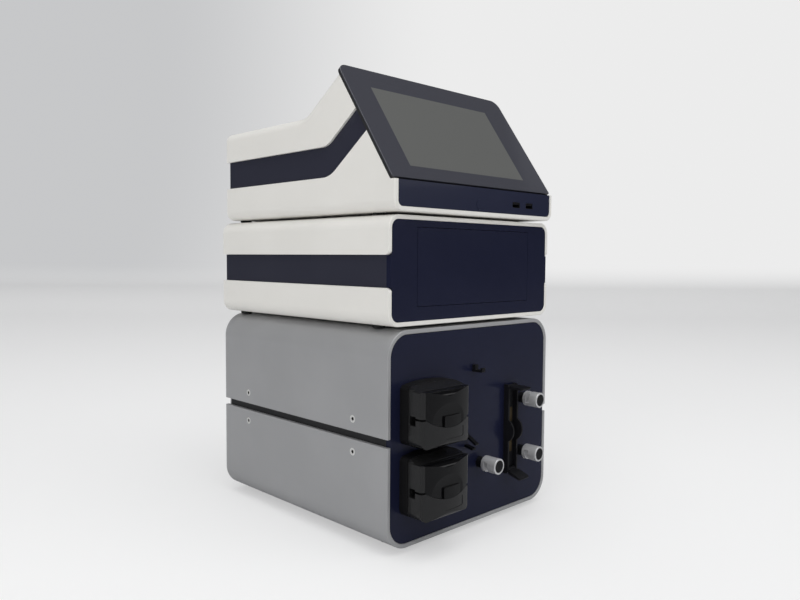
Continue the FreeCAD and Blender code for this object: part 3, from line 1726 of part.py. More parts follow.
def well_outline(x, z, grow):
    """Socket well with two cut corners, as an appliance inlet has."""
    half_width, half_height = inlet_well_width / 2 + grow, inlet_well_height / 2 + grow
    cut = inlet_well_cut
    return [(x - half_width, z - half_height, 0), (x + half_width, z - half_height, 0),
            (x + half_width, z + half_height - cut, 0), (x + half_width - cut, z + half_height, 0),
            (x - half_width + cut, z + half_height, 0), (x - half_width, z + half_height - cut, 0)]


def mains_inlet():
    """Appliance inlet with three blades, and the frame of the rocker switch beside it."""
    back = screen_back()
    z = screen_base + inlet_z
    half_width, half_height = inlet_flange_width / 2, inlet_flange_height / 2
    flange = front_prism(rectangle(inlet_x - half_width, inlet_x + half_width,
                                   z - half_height, z + half_height, inlet_flange),
                         back, back + inlet_flange)
    body = front_prism(rectangle(inlet_x - inlet_width / 2, inlet_x + inlet_width / 2,
                                 z - inlet_height / 2, z + inlet_height / 2, inlet_flange),
                       back - inlet_body_depth, back)
    floor = back + inlet_flange - inlet_well_depth
    well = front_prism(well_outline(inlet_x, z, 0), floor, back + inlet_flange + overrun)
    inlet = join([flange, body]).cut(well)
    blades = []
    for step, rise in ((-1, 0), (0, inlet_pin_rise), (1, 0)):
        x = inlet_x + step * inlet_pin_pitch
        blades.append(box(x - inlet_pin_width / 2, x + inlet_pin_width / 2, floor - tiny,
                          floor + inlet_pin_length, z + rise - inlet_pin_height / 2,
                          z + rise + inlet_pin_height / 2))
    inlet = join([inlet] + blades)
    wide, tall = rocker_opening()
    edge = rocker_frame / 2
    rim = front_prism(rectangle(rocker_x - wide - edge, rocker_x + wide + edge, z - tall - edge,
                                z + tall + edge, inlet_flange / 2), back, back + inlet_flange)
    sleeve = front_prism(rectangle(rocker_x - wide + seat, rocker_x + wide - seat, z - tall + seat,
                                   z + tall - seat), back - rocker_frame_depth, back)
    room_wide, room_tall = rocker_width / 2 + running, rocker_height / 2 + running
    room = front_prism(rectangle(rocker_x - room_wide, rocker_x + room_wide, z - room_tall, z + room_tall),
                       back - rocker_frame_depth + rocker_floor, back + inlet_flange + overrun)
    pin_y, pin_z = rocker_pivot()
    pins = rod_x(pin_y, pin_z, rocker_pin_radius + shaft_play, rocker_x - room_wide - rocker_pin_length,
                 rocker_x + room_wide + rocker_pin_length)
    frame = join([rim, sleeve]).cut(room).cut(pins)
    return Part.makeCompound([inlet, frame])


def rocker_pivot():
    return screen_back() - rocker_frame_depth / 2, screen_base + inlet_z


def power_rocker():
    """Rocker with a shallow V face, at rest with its lower half pressed."""
    y, z = rocker_pivot()
    face = screen_back() + inlet_flange + rocker_rise
    half = rocker_height / 2 - rocker_rise
    slope = half * math.tan(math.radians(rocker_swing))
    corners = [(y - rocker_depth / 2, z - half / 2, 0), (y, z - half, 0), (face, z - half, 0),
               (face - slope, z, 0), (face, z + half, 0), (y, z + half, 0), (y - rocker_depth / 2, z + half / 2, 0)]
    rocker = side_prism(corners, rocker_x - rocker_width / 2, rocker_x + rocker_width / 2)
    pins = rod_x(y, z, rocker_pin_radius, rocker_x - rocker_width / 2 - rocker_pin_length,
                 rocker_x + rocker_width / 2 + rocker_pin_length)
    rocker = join([rocker, pins])
    rocker.rotate(V(rocker_x, y, z), X_AXIS, -rocker_swing)
    return rocker


def main_board():
    """Main board with a finned cooler."""
    floor = screen_base + screen_wall
    x0, x1 = main_board_x - main_board_width / 2, main_board_x + main_board_width / 2
    y0, y1 = main_board_y, main_board_y + main_board_depth
    board = board_on_posts(x0, x1, y0, y1, floor)
    top = floor + board_post_height + board_thickness
    x, y = (x0 + x1) / 2, (y0 + y1) / 2
    half = processor_width / 2
    pieces = [box(x - half, x + half, y - half, y + half, top, top + processor_plate)]
    pitch = (processor_width - cooler_fin) / (cooler_fins - 1)
    for step in range(cooler_fins):
        start = x - half + step * pitch
        pieces.append(box(start, start + cooler_fin, y - half, y + half, top, top + processor_height))
    return Part.makeCompound([board, join(pieces)])


def mains_supply():
    """Closed mains supply on the floor, with feet and a vented lid edge."""
    floor = screen_base + screen_wall
    half = mains_supply_width / 2
    y0, y1 = mains_supply_y, mains_supply_y + mains_supply_depth
    case = box(mains_supply_x - half, mains_supply_x + half, y0, y1, floor, floor + mains_supply_height)
    slots = []
    for step in range(vent_count):
        y = y0 + board_inset + step * 2 * vent_pitch
        slots.append(box(mains_supply_x - half - overrun, mains_supply_x - half + mains_supply_foot,
                         y, y + vent_slot, floor + board_inset, floor + mains_supply_height - board_inset))
    return cut_all(case, slots)


def pieces():
    """Every named piece of the stack, in Y from the front panel."""
    made = {"rubber_feet": rubber_feet(), "side_screws": side_screws()}
    made["flow_top_shell"], made["flow_bottom_shell"] = flow_shells()
    made["flow_chassis"] = flow_chassis()
    made["flow_front_panel"] = flow_front_panel()
    made["flow_rear_panel"] = flow_rear_panel()
    made["fan_frame"] = fan_frame()
    made["fan_rotor"] = fan_rotor()
    for name, base in pump_bases().items():
        made[name + "_pump_housing"] = pump_housing(base)
        made[name + "_pump_lid"] = pump_lid(base)
        made[name + "_pump_rotor"] = pump_rotor(base)
        for number, (x, z) in enumerate(roller_centres(base), 1):
            made[f"{name}_pump_roller_{number}"] = pump_roller(x, z)
    made["pump_motors"] = pump_motors()
    made["valve_heads"] = valve_heads()
    made["valve_inserts"] = valve_inserts()
    made["valve_solenoids"] = valve_solenoids()
    for name, x, z in valve_places():
        made["valve_plunger_" + name] = valve_plunger(x, z)
    made["dock_channel"] = dock_channel()
    made["dock_contacts"] = dock_contacts()
    made["dock_latch"] = dock_paddle(flow_base + dock_high_z, 0)
    made["dock_lever"] = dock_paddle(flow_base + dock_low_z, lever_tilt)
    made["tube_clips"] = tube_clips()
    made["pulse_generator"] = pulse_generator()
    made["link_sockets"] = link_sockets()
    made["drawer_unit_top_shell"], made["drawer_unit_bottom_shell"] = bay_shells()
    made["drawer_unit_front_panel"] = bay_front_panel()
    made["drawer_unit_rear_panel"] = bay_rear_panel()
    made["side_bands"] = side_bands()
    made["drawer_front"] = drawer_front()
    made["drawer_tray"] = drawer_tray()
    made["cuvette_carrier"] = cuvette_carrier()
    made["drawer_rails"] = drawer_rails()
    made["drawer_pinion"] = drawer_pinion()
    made["drawer_motor"] = drawer_motor()
    made["contact_head"] = contact_head()
    made["screen_unit_top_shell"], made["screen_unit_bottom_shell"] = screen_shells()
    made["screen_unit_front_strip"] = screen_front_strip()
    made["screen_unit_rear_panel"] = screen_rear_panel()
    made["screen_glass"] = screen_glass()
    made["screen_frame"] = screen_frame()
    made["display_module"] = display_module()
    made["power_button"] = power_button()
    made["usb_sockets"] = usb_sockets()
    made["main_board"] = main_board()
    made["mains_supply"] = mains_supply()
    made["mains_inlet"] = mains_inlet()
    made["power_rocker"] = power_rocker()
    return made


def main():
    os.makedirs("parts", exist_ok=True)
    for name, shape in pieces().items():
        if not shape.isValid() or not shape.Solids:
            print("check", name)
        shape.translate(V(0, -middle_y, 0))
        shape.exportStep(f"parts/{name}.step")


main()
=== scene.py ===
"""Finishes and studio for the stacked electroporator."""

from __future__ import annotations

import logging
import math
from dataclasses import dataclass
from enum import Enum
from typing import Any, Iterable

import bmesh
import bpy
from mathutils import Matrix, Vector

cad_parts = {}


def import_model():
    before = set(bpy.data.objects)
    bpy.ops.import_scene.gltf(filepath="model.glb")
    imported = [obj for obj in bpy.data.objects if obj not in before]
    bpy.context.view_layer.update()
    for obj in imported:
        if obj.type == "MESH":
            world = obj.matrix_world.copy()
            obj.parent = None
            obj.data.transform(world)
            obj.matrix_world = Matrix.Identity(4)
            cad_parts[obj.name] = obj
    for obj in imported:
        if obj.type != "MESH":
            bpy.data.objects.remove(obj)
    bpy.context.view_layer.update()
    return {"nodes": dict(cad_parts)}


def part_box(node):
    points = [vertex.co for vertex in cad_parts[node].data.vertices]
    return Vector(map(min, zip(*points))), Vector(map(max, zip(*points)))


log = logging.getLogger("electroporator")

MM = 0.001
Colour = tuple[float, float, float]
Point = tuple[float, float, float]
# Tone behind everything, and of the backdrop's rim.
WORLD_TONE: Colour = (0.84, 0.84, 0.84)
# Numbers of the Mix node's sockets for colours.
MIX_FACTOR, MIX_FIRST, MIX_SECOND, MIX_RESULT = 0, 6, 7, 2
# Scale along a drawn grain, against 1 across it.
GRAIN_STRETCH = 0.02
# Edges flatter than this are shaded smooth.
SMOOTH_BELOW = math.radians(28)


class Along(Enum):
    """Axis that a grain, a lathe mark or a gradient follows."""

    X = 0
    Y = 1
    Z = 2


class Socket:
    """Output of a shader node, with Python's operators for numbers."""

    def __init__(self, graph: "Graph", output: bpy.types.NodeSocket) -> None:
        """Wraps one output.

        Args:
            graph: Node graph that owns the output.
            output: The output itself.
        """
        self.graph = graph
        self.output = output

    def _with(self, operation: str, first: Any, second: Any = None) -> "Socket":
        """Adds one Math node.

        Args:
            operation: Name of the operation.
            first: First value or socket.
            second: Second value or socket, if the operation has one.

        Returns:
            The node's result.
        """
        values = {i: v for i, v in enumerate((first, second)) if v is not None}
        return self.graph.node("ShaderNodeMath", {"operation": operation}, values)

    def __add__(self, other: Any) -> "Socket":
        """Sum."""
        return self._with("ADD", self, other)

    def __sub__(self, other: Any) -> "Socket":
        """Difference."""
        return self._with("SUBTRACT", self, other)

    def __rsub__(self, other: Any) -> "Socket":
        """Difference from a number on the left."""
        return self._with("SUBTRACT", other, self)

    def __mul__(self, other: Any) -> "Socket":
        """Product."""
        return self._with("MULTIPLY", self, other)

    def __pow__(self, other: Any) -> "Socket":
        """Power."""
        return self._with("POWER", self, other)

    def size(self) -> "Socket":
        """Absolute value."""
        return self._with("ABSOLUTE", self)

    def least(self, other: Any) -> "Socket":
        """Smaller of two values."""
        return self._with("MINIMUM", self, other)

    def most(self, other: Any) -> "Socket":
        """Larger of two values."""
        return self._with("MAXIMUM", self, other)

    def root(self) -> "Socket":
        """Square root."""
        return self._with("SQRT", self)

    def wave(self) -> "Socket":
        """Sine."""
        return self._with("SINE", self)

    def clamped(self) -> "Socket":
        """Value held between 0 and 1."""
        return self.most(0.0).least(1.0)

    def step(self, start: float, end: float) -> "Socket":
        """Smooth step.

        Args:
            start: Value at which the result leaves 0.
            end: Value at which the result reaches 1.

        Returns:
            Result between 0 and 1.
        """
        inputs = {"Value": self, "From Min": start, "From Max": end}
        return self.graph.node("ShaderNodeMapRange", {"interpolation_type": "SMOOTHSTEP"}, inputs)


class Graph:
    """Node graph of one material or of the world."""

    def __init__(self, name: str, world: bool = False) -> None:
        """Starts a material or a world with an empty graph.

        Args:
            name: Name of the material or world.
            world: True for a world.
        """
        self.block = (bpy.data.worlds if world else bpy.data.materials).new(name)
        self.block.use_nodes = True
        self.tree = self.block.node_tree
        self.tree.nodes.clear()
        self.end = "ShaderNodeOutputWorld" if world else "ShaderNodeOutputMaterial"
        if not world:
            self.place = self.node("ShaderNodeTexCoord", output="Object")

    def node(self, kind: str, settings: dict[str, Any] | None = None,
             inputs: dict[Any, Any] | None = None, output: int | str = 0) -> Socket:
        """Adds one node, first its settings and then its inputs.

        Args:
            kind: Blender's type name of the node.
            settings: Attributes; "stops" sets a colour ramp's stops.
            inputs: Values, colours or sockets by input name or number.
            output: Name or number of the output that is wanted.

        Returns:
            The wanted output.
        """
        made = self.tree.nodes.new(kind)
        for key, value in (settings or {}).items():
            if key == "stops":
                self._set_stops(made, value)
            else:
                setattr(made, key, value)
        for key, value in (inputs or {}).items():
            if isinstance(value, Socket):
                self.tree.links.new(value.output, made.inputs[key])
            else:
                made.inputs[key].default_value = value
        return Socket(self, made.outputs[output])

    @staticmethod
    def _set_stops(ramp: bpy.types.Node, stops: list[tuple[float, Colour]]) -> None:
        """Sets a colour ramp's stops.

        Args:
            ramp: Colour ramp node.
            stops: Places and colours, at least two.
        """
        elements = ramp.color_ramp.elements
        while len(elements) < len(stops):
            elements.new(0.5)
        for element, (place, colour) in zip(elements, stops):
            element.position = place
            element.color = (*colour, 1.0)

    def part(self, axis: Along) -> Socket:
        """Place along one axis.

        Args:
            axis: Axis that is wanted.

        Returns:
            Value socket, in metres.
        """
        return self.node("ShaderNodeSeparateXYZ", inputs={0: self.place}, output=axis.value)

    def stretched(self, scale: Point) -> Socket:
        """Coordinates scaled per axis.

        Args:
            scale: Factor for each axis.

        Returns:
            Vector socket.
        """
        return self.node("ShaderNodeMapping", {"vector_type": "POINT"},
                         {"Vector": self.place, "Scale": scale})

    def noise(self, scale: float, detail: float = 3.0, rough: float = 0.55,
              where: Socket | None = None) -> Socket:
        """Noise between about 0 and 1.

        Args:
            scale: Cells per metre.
            detail: Octaves.
            rough: Share of the finer octaves.
            where: Coordinates, or None for the object's own.

        Returns:
            Value socket.
        """
        return self.node("ShaderNodeTexNoise", None,
                         {"Vector": where or self.place, "Scale": scale, "Detail": detail,
                          "Roughness": rough})

    def mix(self, factor: Any, first: Any, second: Any) -> Socket:
        """Mix of two colours.

        Args:
            factor: 0 for the first colour and 1 for the second.
            first: Colour or socket.
            second: Colour or socket.

        Returns:
            Colour socket.
        """
        first, second = (value if isinstance(value, Socket) else (*value, 1.0)
                         for value in (first, second))
        return self.node("ShaderNodeMix", {"data_type": "RGBA"},
                         {MIX_FACTOR: factor, MIX_FIRST: first, MIX_SECOND: second}, MIX_RESULT)

    def bump(self, height: Socket, distance: float) -> Socket:
        """Bump normal.

        Args:
            height: Height between 0 and 1.
            distance: Depth of a full step in metres.

        Returns:
            Normal socket.
        """
        return self.node("ShaderNodeBump", None,
                         {"Height": height, "Distance": distance, "Strength": 1.0})

    def surface(self, constants: dict[str, Any], links: dict[str, Socket]) -> bpy.types.Material:
        """Ends the graph in one Principled shader.

        Args:
            constants: Values set on the shader's own sockets.
            links: Sockets that vary over the surface.

        Returns:
            The finished material.
        """
        shader = self.node("ShaderNodeBsdfPrincipled", None, {**constants, **links})
        self.node_to_output(shader)
        return self.block

    def node_to_output(self, shader: Socket) -> None:
        """Links a shader to the graph's output.

        Args:
            shader: Shader that ends the graph.
        """
        end = self.tree.nodes.new(self.end)
        self.tree.links.new(shader.output, end.inputs["Surface"])


@dataclass(frozen=True)
class Coating:
    """Paint or moulded plastic with a fine texture, cloudy tone and uneven gloss."""

    name: str
    colour: Colour
    shade: Colour
    roughness: float
    unevenness: float = 0.06
    cloud: float = 9.0
    texture: float = 2600.0
    relief: float = 0.02
    coat: float = 0.0
    coat_roughness: float = 0.05
    metallic: float = 0.0
    specular: float = 0.5

    def material(self) -> bpy.types.Material:
        """Makes the material.

        Returns:
            The finished material.
        """
        graph = Graph(self.name)
        cloud = graph.noise(self.cloud, 4.0)
        fine = graph.noise(self.texture, 2.0)
        smear = graph.noise(self.cloud * 4, 5.0, 0.6)
        colour = graph.mix(cloud.step(0.3, 0.7), self.colour, self.shade)
        rough = (smear - 0.5) * (2 * self.unevenness) + self.roughness
        normal = graph.bump(fine, self.relief * MM)
        return graph.surface(
            {"Metallic": self.metallic, "Coat Weight": self.coat,
             "Coat Roughness": self.coat_roughness, "Specular IOR Level": self.specular},
            {"Base Color": colour, "Roughness": rough.clamped(), "Normal": normal})


@dataclass(frozen=True)
class Grain:
    """Drawn or brushed metal whose fine lines follow one axis."""

    name: str
    colour: Colour
    shade: Colour
    roughness: float
    along: Along = Along.Y
    lines: float = 1800.0
    relief: float = 0.012
    metallic: float = 0.65

    def material(self) -> bpy.types.Material:
        """Makes the material.

        Returns:
            The finished material.
        """
        graph = Graph(self.name)
        scale = [1.0, 1.0, 1.0]
        scale[self.along.value] = GRAIN_STRETCH
        where = graph.stretched(tuple(scale))
        lines = graph.noise(self.lines, 3.0, 0.6, where)
        cloud = graph.noise(7.0, 3.0)
        colour = graph.mix((lines * 0.5 + cloud * 0.5).step(0.3, 0.7), self.colour, self.shade)
        rough = (lines - 0.5) * 0.18 + self.roughness
        normal = graph.bump(lines, self.relief * MM)
        return graph.surface(
            {"Metallic": self.metallic},
            {"Base Color": colour, "Roughness": rough.clamped(), "Normal": normal})


@dataclass(frozen=True)
class Turned:
    """Turned metal with rings round an axis along Y."""

    name: str
    colour: Colour
    shade: Colour
    roughness: float
    centres: tuple[Point, ...]
    rings: float = 5200.0
    relief: float = 0.008
    metallic: float = 0.60

    def material(self) -> bpy.types.Material:
        """Makes the material.

        Returns:
            The finished material.
        """
        graph = Graph(self.name)
        across, up = graph.part(Along.X), graph.part(Along.Z)
        radius = None
        for x, _, z in self.centres:
            one = ((across - x) ** 2 + (up - z) ** 2).root()
            radius = one if radius is None else radius.least(one)
        rings = (radius * self.rings).wave() * 0.5 + 0.5
        lathe = (graph.part(Along.Y) * self.rings).wave() * 0.5 + 0.5
        mark = graph.noise(260.0, 4.0)
        ripple = rings * 0.35 + lathe * 0.35 + mark * 0.3
        colour = graph.mix(ripple.step(0.25, 0.75), self.colour, self.shade)
        rough = (mark - 0.5) * 0.16 + self.roughness
        normal = graph.bump(ripple, self.relief * MM)
        return graph.surface(
            {"Metallic": self.metallic},
            {"Base Color": colour, "Roughness": rough.clamped(), "Normal": normal})


@dataclass(frozen=True)
class PrintedGlass:
    """Cover glass printed dark behind, with a greyer field where the display lies; both colours
    also carry a painted reflection of the room.
    """

    name: str
    border: Colour
    field: Colour
    foot: Point
    tilt: float
    left: float
    right: float
    low: float
    high: float
    blur: float = 0.25 * MM
    polish: float = 0.05

    def material(self) -> bpy.types.Material:
        """Makes the material.

        Returns:
            The finished material.
        """
        graph = Graph(self.name)
        across = graph.part(Along.X)
        rise = (graph.part(Along.Y) - self.foot[1]) * math.sin(self.tilt) \
            + (graph.part(Along.Z) - self.foot[2]) * math.cos(self.tilt)
        middle_x, half_x = (self.left + self.right) / 2, (self.right - self.left) / 2
        middle_r, half_r = (self.low + self.high) / 2, (self.high - self.low) / 2
        aside = (across - middle_x).size() - half_x
        beyond = aside.most((rise - middle_r).size() - half_r)
        inside = 1 - beyond.step(-self.blur, self.blur)
        haze = graph.noise(14.0, 4.0)
        # Both colours hold a painted reflection of the room on top of the print and the display.
        colour = graph.mix(inside, self.border, self.field)
        smear = graph.noise(38.0, 5.0, 0.62, graph.stretched((1.0, 0.4, 0.4)))
        rough = (smear - 0.5) * 0.05 + haze * 0.03 + self.polish
        return graph.surface({"Metallic": 0.0, "IOR": 1.5, "Specular IOR Level": 0.6},
                             {"Base Color": colour, "Roughness": rough.clamped()})


@dataclass(frozen=True)
class PumpShell:
    """Black moulding, glossy in front and with a rougher finish on the strip that lies against the
    panel; the strip's darker colour is painted shade next to the panel.
    """

    name: str
    gloss: Colour
    shaded_strip_colour: Colour
    seam_y: float
    blur: float = 0.2 * MM
    relief: float = 0.012
    polish: float = 0.20
    matt_rise: float = 0.30
    coat: float = 0.3

    def material(self) -> bpy.types.Material:
        """Makes the material.

        Returns:
            The finished material.
        """
        graph = Graph(self.name)
        strip = graph.part(Along.Y).step(self.seam_y - self.blur, self.seam_y + self.blur)
        smear = graph.noise(60.0, 5.0, 0.6)
        grain = graph.noise(3800.0, 2.0)
        # Painted shade: the strip next to the panel takes the darker colour.
        colour = graph.mix(strip, self.gloss, self.shaded_strip_colour)
        rough = (smear - 0.5) * 0.10 + strip * self.matt_rise + self.polish
        normal = graph.bump(grain, self.relief * MM)
        return graph.surface(
            {"Coat Roughness": 0.08, "Specular IOR Level": 0.3},
            {"Base Color": colour, "Roughness": rough.clamped(), "Normal": normal,
             "Coat Weight": (1 - strip) * self.coat})


@dataclass(frozen=True)
class SocketScrew:
    """Plated screw whose head lies at a face across X, with painted shade in its socket."""

    name: str
    colour: Colour
    socket_shade: Colour
    face: float
    unshaded_to: float = 0.1 * MM
    dark_from: float = 0.7 * MM
    raggedness: float = 0.3 * MM
    relief: float = 0.02
    metallic: float = 0.45

    def material(self) -> bpy.types.Material:
        """Makes the material.

        Returns:
            The finished material.
        """
        graph = Graph(self.name)
        depth = self.face - graph.part(Along.X).size()
        mark = graph.noise(900.0, 4.0)
        ragged = depth + (mark - 0.5) * self.raggedness
        # Painted shade: the colour darkens with depth below the head's face, into the socket.
        colour = graph.mix(ragged.step(self.unshaded_to, self.dark_from), self.colour, self.socket_shade)
        normal = graph.bump(mark, self.relief * MM)
        return graph.surface(
            {"Metallic": self.metallic},
            {"Base Color": colour, "Roughness": mark * 0.2 + 0.3, "Normal": normal})


@dataclass(frozen=True)
class CircuitBoard:
    """Lacquered board with a pattern of copper tracks under the lacquer."""

    name: str
    colour: Colour
    track: Colour
    cells: float = 210.0
    relief: float = 0.03
    coat: float = 0.3

    def material(self) -> bpy.types.Material:
        """Makes the material.

        Returns:
            The finished material.
        """
        graph = Graph(self.name)
        cells = graph.node("ShaderNodeTexVoronoi", {"distance": "MANHATTAN", "feature": "F1"},
                           {"Vector": graph.place, "Scale": self.cells}, "Distance")
        mask = cells.step(0.30, 0.34) * (1 - cells.step(0.42, 0.46))
        colour = graph.mix(mask, self.colour, self.track)
        normal = graph.bump(mask, self.relief * MM)
        rough = graph.noise(90.0) * 0.2 + 0.25
        return graph.surface(
            {"Coat Weight": self.coat},
            {"Base Color": colour, "Roughness": rough, "Normal": normal})


class Finishes:
    """Every material of the stack, made once by name."""

    def __init__(self) -> None:
        """Starts with no material made."""
        self._made: dict[str, bpy.types.Material] = {}

    def get(self, finish: Any) -> bpy.types.Material:
        """Material of a finish.

        Args:
            finish: One of the finish dataclasses.

        Returns:
            The material, made on first use.
        """
        if finish.name not in self._made:
            self._made[finish.name] = finish.material()
        return self._made[finish.name]


WHITE_PAINT = Coating("warm_white_paint", (0.80, 0.785, 0.745), (0.83, 0.815, 0.775), 0.42,
                      texture=1500.0, relief=0.012, specular=0.4)
SILVER_SHEET = Coating("silver_anodised_sheet", (0.385, 0.387, 0.395), (0.415, 0.417, 0.425), 0.40,
                       texture=5200.0, relief=0.014, metallic=0.25, specular=0.4)
NAVY_PANEL = Coating("navy_panel_lacquer", (0.0095, 0.0115, 0.031), (0.011, 0.013, 0.034), 0.26,
                     texture=900.0, unevenness=0.025, relief=0.003, coat=0.10, coat_roughness=0.05,
                     specular=0.20)
NAVY_STRIP = Coating("navy_strip_paint", (0.012, 0.015, 0.038), (0.014, 0.017, 0.042), 0.30,
                     texture=900.0, relief=0.004, coat=0.10, specular=0.25)
NAVY_BAND = Coating("navy_band_paint", (0.026, 0.027, 0.043), (0.029, 0.030, 0.047), 0.42,
                    texture=1800.0, relief=0.012, specular=0.25)
DARK_FRAME = Coating("dark_frame_paint", (0.016, 0.016, 0.018), (0.022, 0.022, 0.024), 0.55,
                     relief=0.03)
GREY_PLATE = Coating("grey_back_plate_paint", (0.36, 0.365, 0.37), (0.33, 0.335, 0.34), 0.5,
                     texture=1400.0, relief=0.03)
BLACK_GLOSS = Coating("black_moulded_gloss", (0.0022, 0.0022, 0.0026), (0.0034, 0.0034, 0.004),
                      roughness=0.12, unevenness=0.05, texture=700.0, relief=0.004,
                      coat=0.3, coat_roughness=0.04, specular=0.15)
BLACK_MATTE = Coating("black_moulded_plastic", (0.0060, 0.0060, 0.0075), (0.009, 0.009, 0.011),
                      roughness=0.42, texture=3800.0, relief=0.03, specular=0.2)
WHITE_PLASTIC = Coating("white_moulded_plastic", (0.70, 0.70, 0.68), (0.74, 0.74, 0.72), 0.38,
                        relief=0.015)
RUBBER = Coating("black_rubber", (0.012, 0.012, 0.012), (0.02, 0.02, 0.02), 0.75,
                 texture=5200.0, relief=0.05)
STEEL = Grain("bright_steel", (0.60, 0.60, 0.61), (0.50, 0.50, 0.51), 0.28)
# Brass darkened far below its own tone: painted shade of the dock channel that the contacts sit
# in.
SHADED_BRASS = Grain("plated_brass_in_painted_shade", (0.085, 0.062, 0.030), (0.070, 0.050, 0.024), 0.40, Along.Z)
DISPLAY = Coating("display_back", (0.02, 0.02, 0.022), (0.03, 0.03, 0.032), 0.4)
BOARD = CircuitBoard("green_circuit_board", (0.01, 0.07, 0.03), (0.04, 0.16, 0.07))


@dataclass
class Dresser:
    """Puts materials and edge shading on the nodes of the frame."""

    nodes: dict[str, bpy.types.Object]
    finishes: Finishes

    def dress(self, finish: Any, *names: str) -> None:
        """Gives nodes a finish.

        Args:
            finish: One of the finish dataclasses.
            names: Node names.
        """
        material = self.finishes.get(finish)
        for name in names:
            mesh = self.nodes[name].data
            mesh.materials.clear()
            mesh.materials.append(material)
            mesh.shade_smooth()
            mesh.set_sharp_from_angle(angle=SMOOTH_BELOW)
            log.info("%s has the finish %s", name, finish.name)


@dataclass
class FlowUnit:
    """Aluminium housing with its panel, seam frame, screws and feet."""

    dresser: Dresser

    def build(self) -> None:
        """Dresses the housing and what it holds."""
        self.dresser.dress(SILVER_SHEET, "flow_top_shell", "flow_bottom_shell")
        self.dresser.dress(DARK_FRAME, "flow_chassis")
        self.dresser.dress(NAVY_PANEL, "flow_front_panel")
        self.dresser.dress(GREY_PLATE, "flow_rear_panel")
        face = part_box("side_screws")[1][0]
        # The second colour is the painted shade in the screw sockets.
        plating = SocketScrew("socket_screw_plating", (0.80, 0.80, 0.78), (0.03, 0.03, 0.03), face)
        self.dresser.dress(plating, "side_screws")
        self.dresser.dress(RUBBER, "rubber_feet")
        self.dresser.dress(BLACK_MATTE, "fan_frame", "fan_rotor", "valve_solenoids")
        self.dresser.dress(BOARD, "pulse_generator", "main_board")
        self.dresser.dress(STEEL, "pump_motors", "drawer_motor", "mains_supply")


@dataclass
class TubePumps:
    """The two flip-front tube pumps, whose shells are rougher and darkened with painted shade next
    to the panel.
    """

    dresser: Dresser
    matt_and_shade_strip: float = 11.15 * MM

    def build(self) -> None:
        """Dresses both pumps."""
        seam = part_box("flow_front_panel")[0][1] - self.matt_and_shade_strip
        # The second colour is darker: painted shade on the strip next to the panel.
        housing = PumpShell("pump_moulding", (0.013, 0.013, 0.0135), (0.0045, 0.0045, 0.005), seam)
        for place in ("upper", "lower"):
            self.dresser.dress(housing, f"{place}_pump_housing")
            self.dresser.dress(BLACK_GLOSS, f"{place}_pump_lid")
            self.dresser.dress(WHITE_PLASTIC, f"{place}_pump_rotor")
            for number in (1, 2, 3):
                self.dresser.dress(STEEL, f"{place}_pump_roller_{number}")


@dataclass
class PanelFittings:
    """Pinch valves, cartridge dock and tube clips."""

    dresser: Dresser

    def build(self) -> None:
        """Dresses the fittings."""
        places = ("right_high", "right_low", "left_low")
        centres = []
        for name in places:
            a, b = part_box(f"valve_plunger_{name}")
            centres.append(tuple((p + q) / 2 for p, q in zip(a, b)))
        turned = Turned("turned_valve_heads", (0.80, 0.80, 0.81), (0.66, 0.66, 0.67), 0.42,
                        tuple(centres))
        self.dresser.dress(turned, "valve_heads")
        self.dresser.dress(BLACK_MATTE, "valve_inserts", "tube_clips", "dock_channel",
                           "dock_latch", "dock_lever")
        self.dresser.dress(SHADED_BRASS, "dock_contacts")
        self.dresser.dress(STEEL, *(f"valve_plunger_{name}" for name in places))


@dataclass
class DrawerUnit:
    """White unit with the cuvette drawer."""

    dresser: Dresser

    def build(self) -> None:
        """Dresses the unit."""
        self.dresser.dress(WHITE_PAINT, "drawer_unit_top_shell", "drawer_unit_bottom_shell")
        self.dresser.dress(NAVY_PANEL, "drawer_unit_front_panel", "drawer_front")
        self.dresser.dress(NAVY_BAND, "side_bands")
        self.dresser.dress(GREY_PLATE, "drawer_unit_rear_panel")
        self.dresser.dress(WHITE_PLASTIC, "drawer_tray", "cuvette_carrier", "contact_head",
                           "drawer_pinion")
        self.dresser.dress(STEEL, "drawer_rails", "link_sockets")


@dataclass
class ScreenUnit:
    """Sloping touch-screen unit.

    The field is the display behind the glass: its sides along X, and its lower and upper edge
    measured up the slope from the glass's foot.
    """

    dresser: Dresser
    tilt: float = math.radians(34.57)
    field_left: float = -93.8 * MM
    field_right: float = 86.5 * MM
    field_low: float = 16.2 * MM
    field_high: float = 117.0 * MM

    def build(self) -> None:
        """Dresses the unit."""
        low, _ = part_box("screen_glass")
        foot = (0.0, low[1], low[2])
        # Both glass colours are lighter than print and display alone: painted reflection of the
        # room.
        glass = PrintedGlass("printed_cover_glass", (0.056, 0.057, 0.070), (0.126, 0.128, 0.124),
                             foot, self.tilt, self.field_left, self.field_right,
                             self.field_low, self.field_high)
        self.dresser.dress(WHITE_PAINT, "screen_unit_top_shell", "screen_unit_bottom_shell")
        self.dresser.dress(glass, "screen_glass")
        self.dresser.dress(DARK_FRAME, "screen_frame")
        self.dresser.dress(DISPLAY, "display_module")
        self.dresser.dress(NAVY_STRIP, "screen_unit_front_strip", "power_button")
        self.dresser.dress(GREY_PLATE, "screen_unit_rear_panel")
        self.dresser.dress(BLACK_MATTE, "usb_sockets", "mains_inlet", "power_rocker")


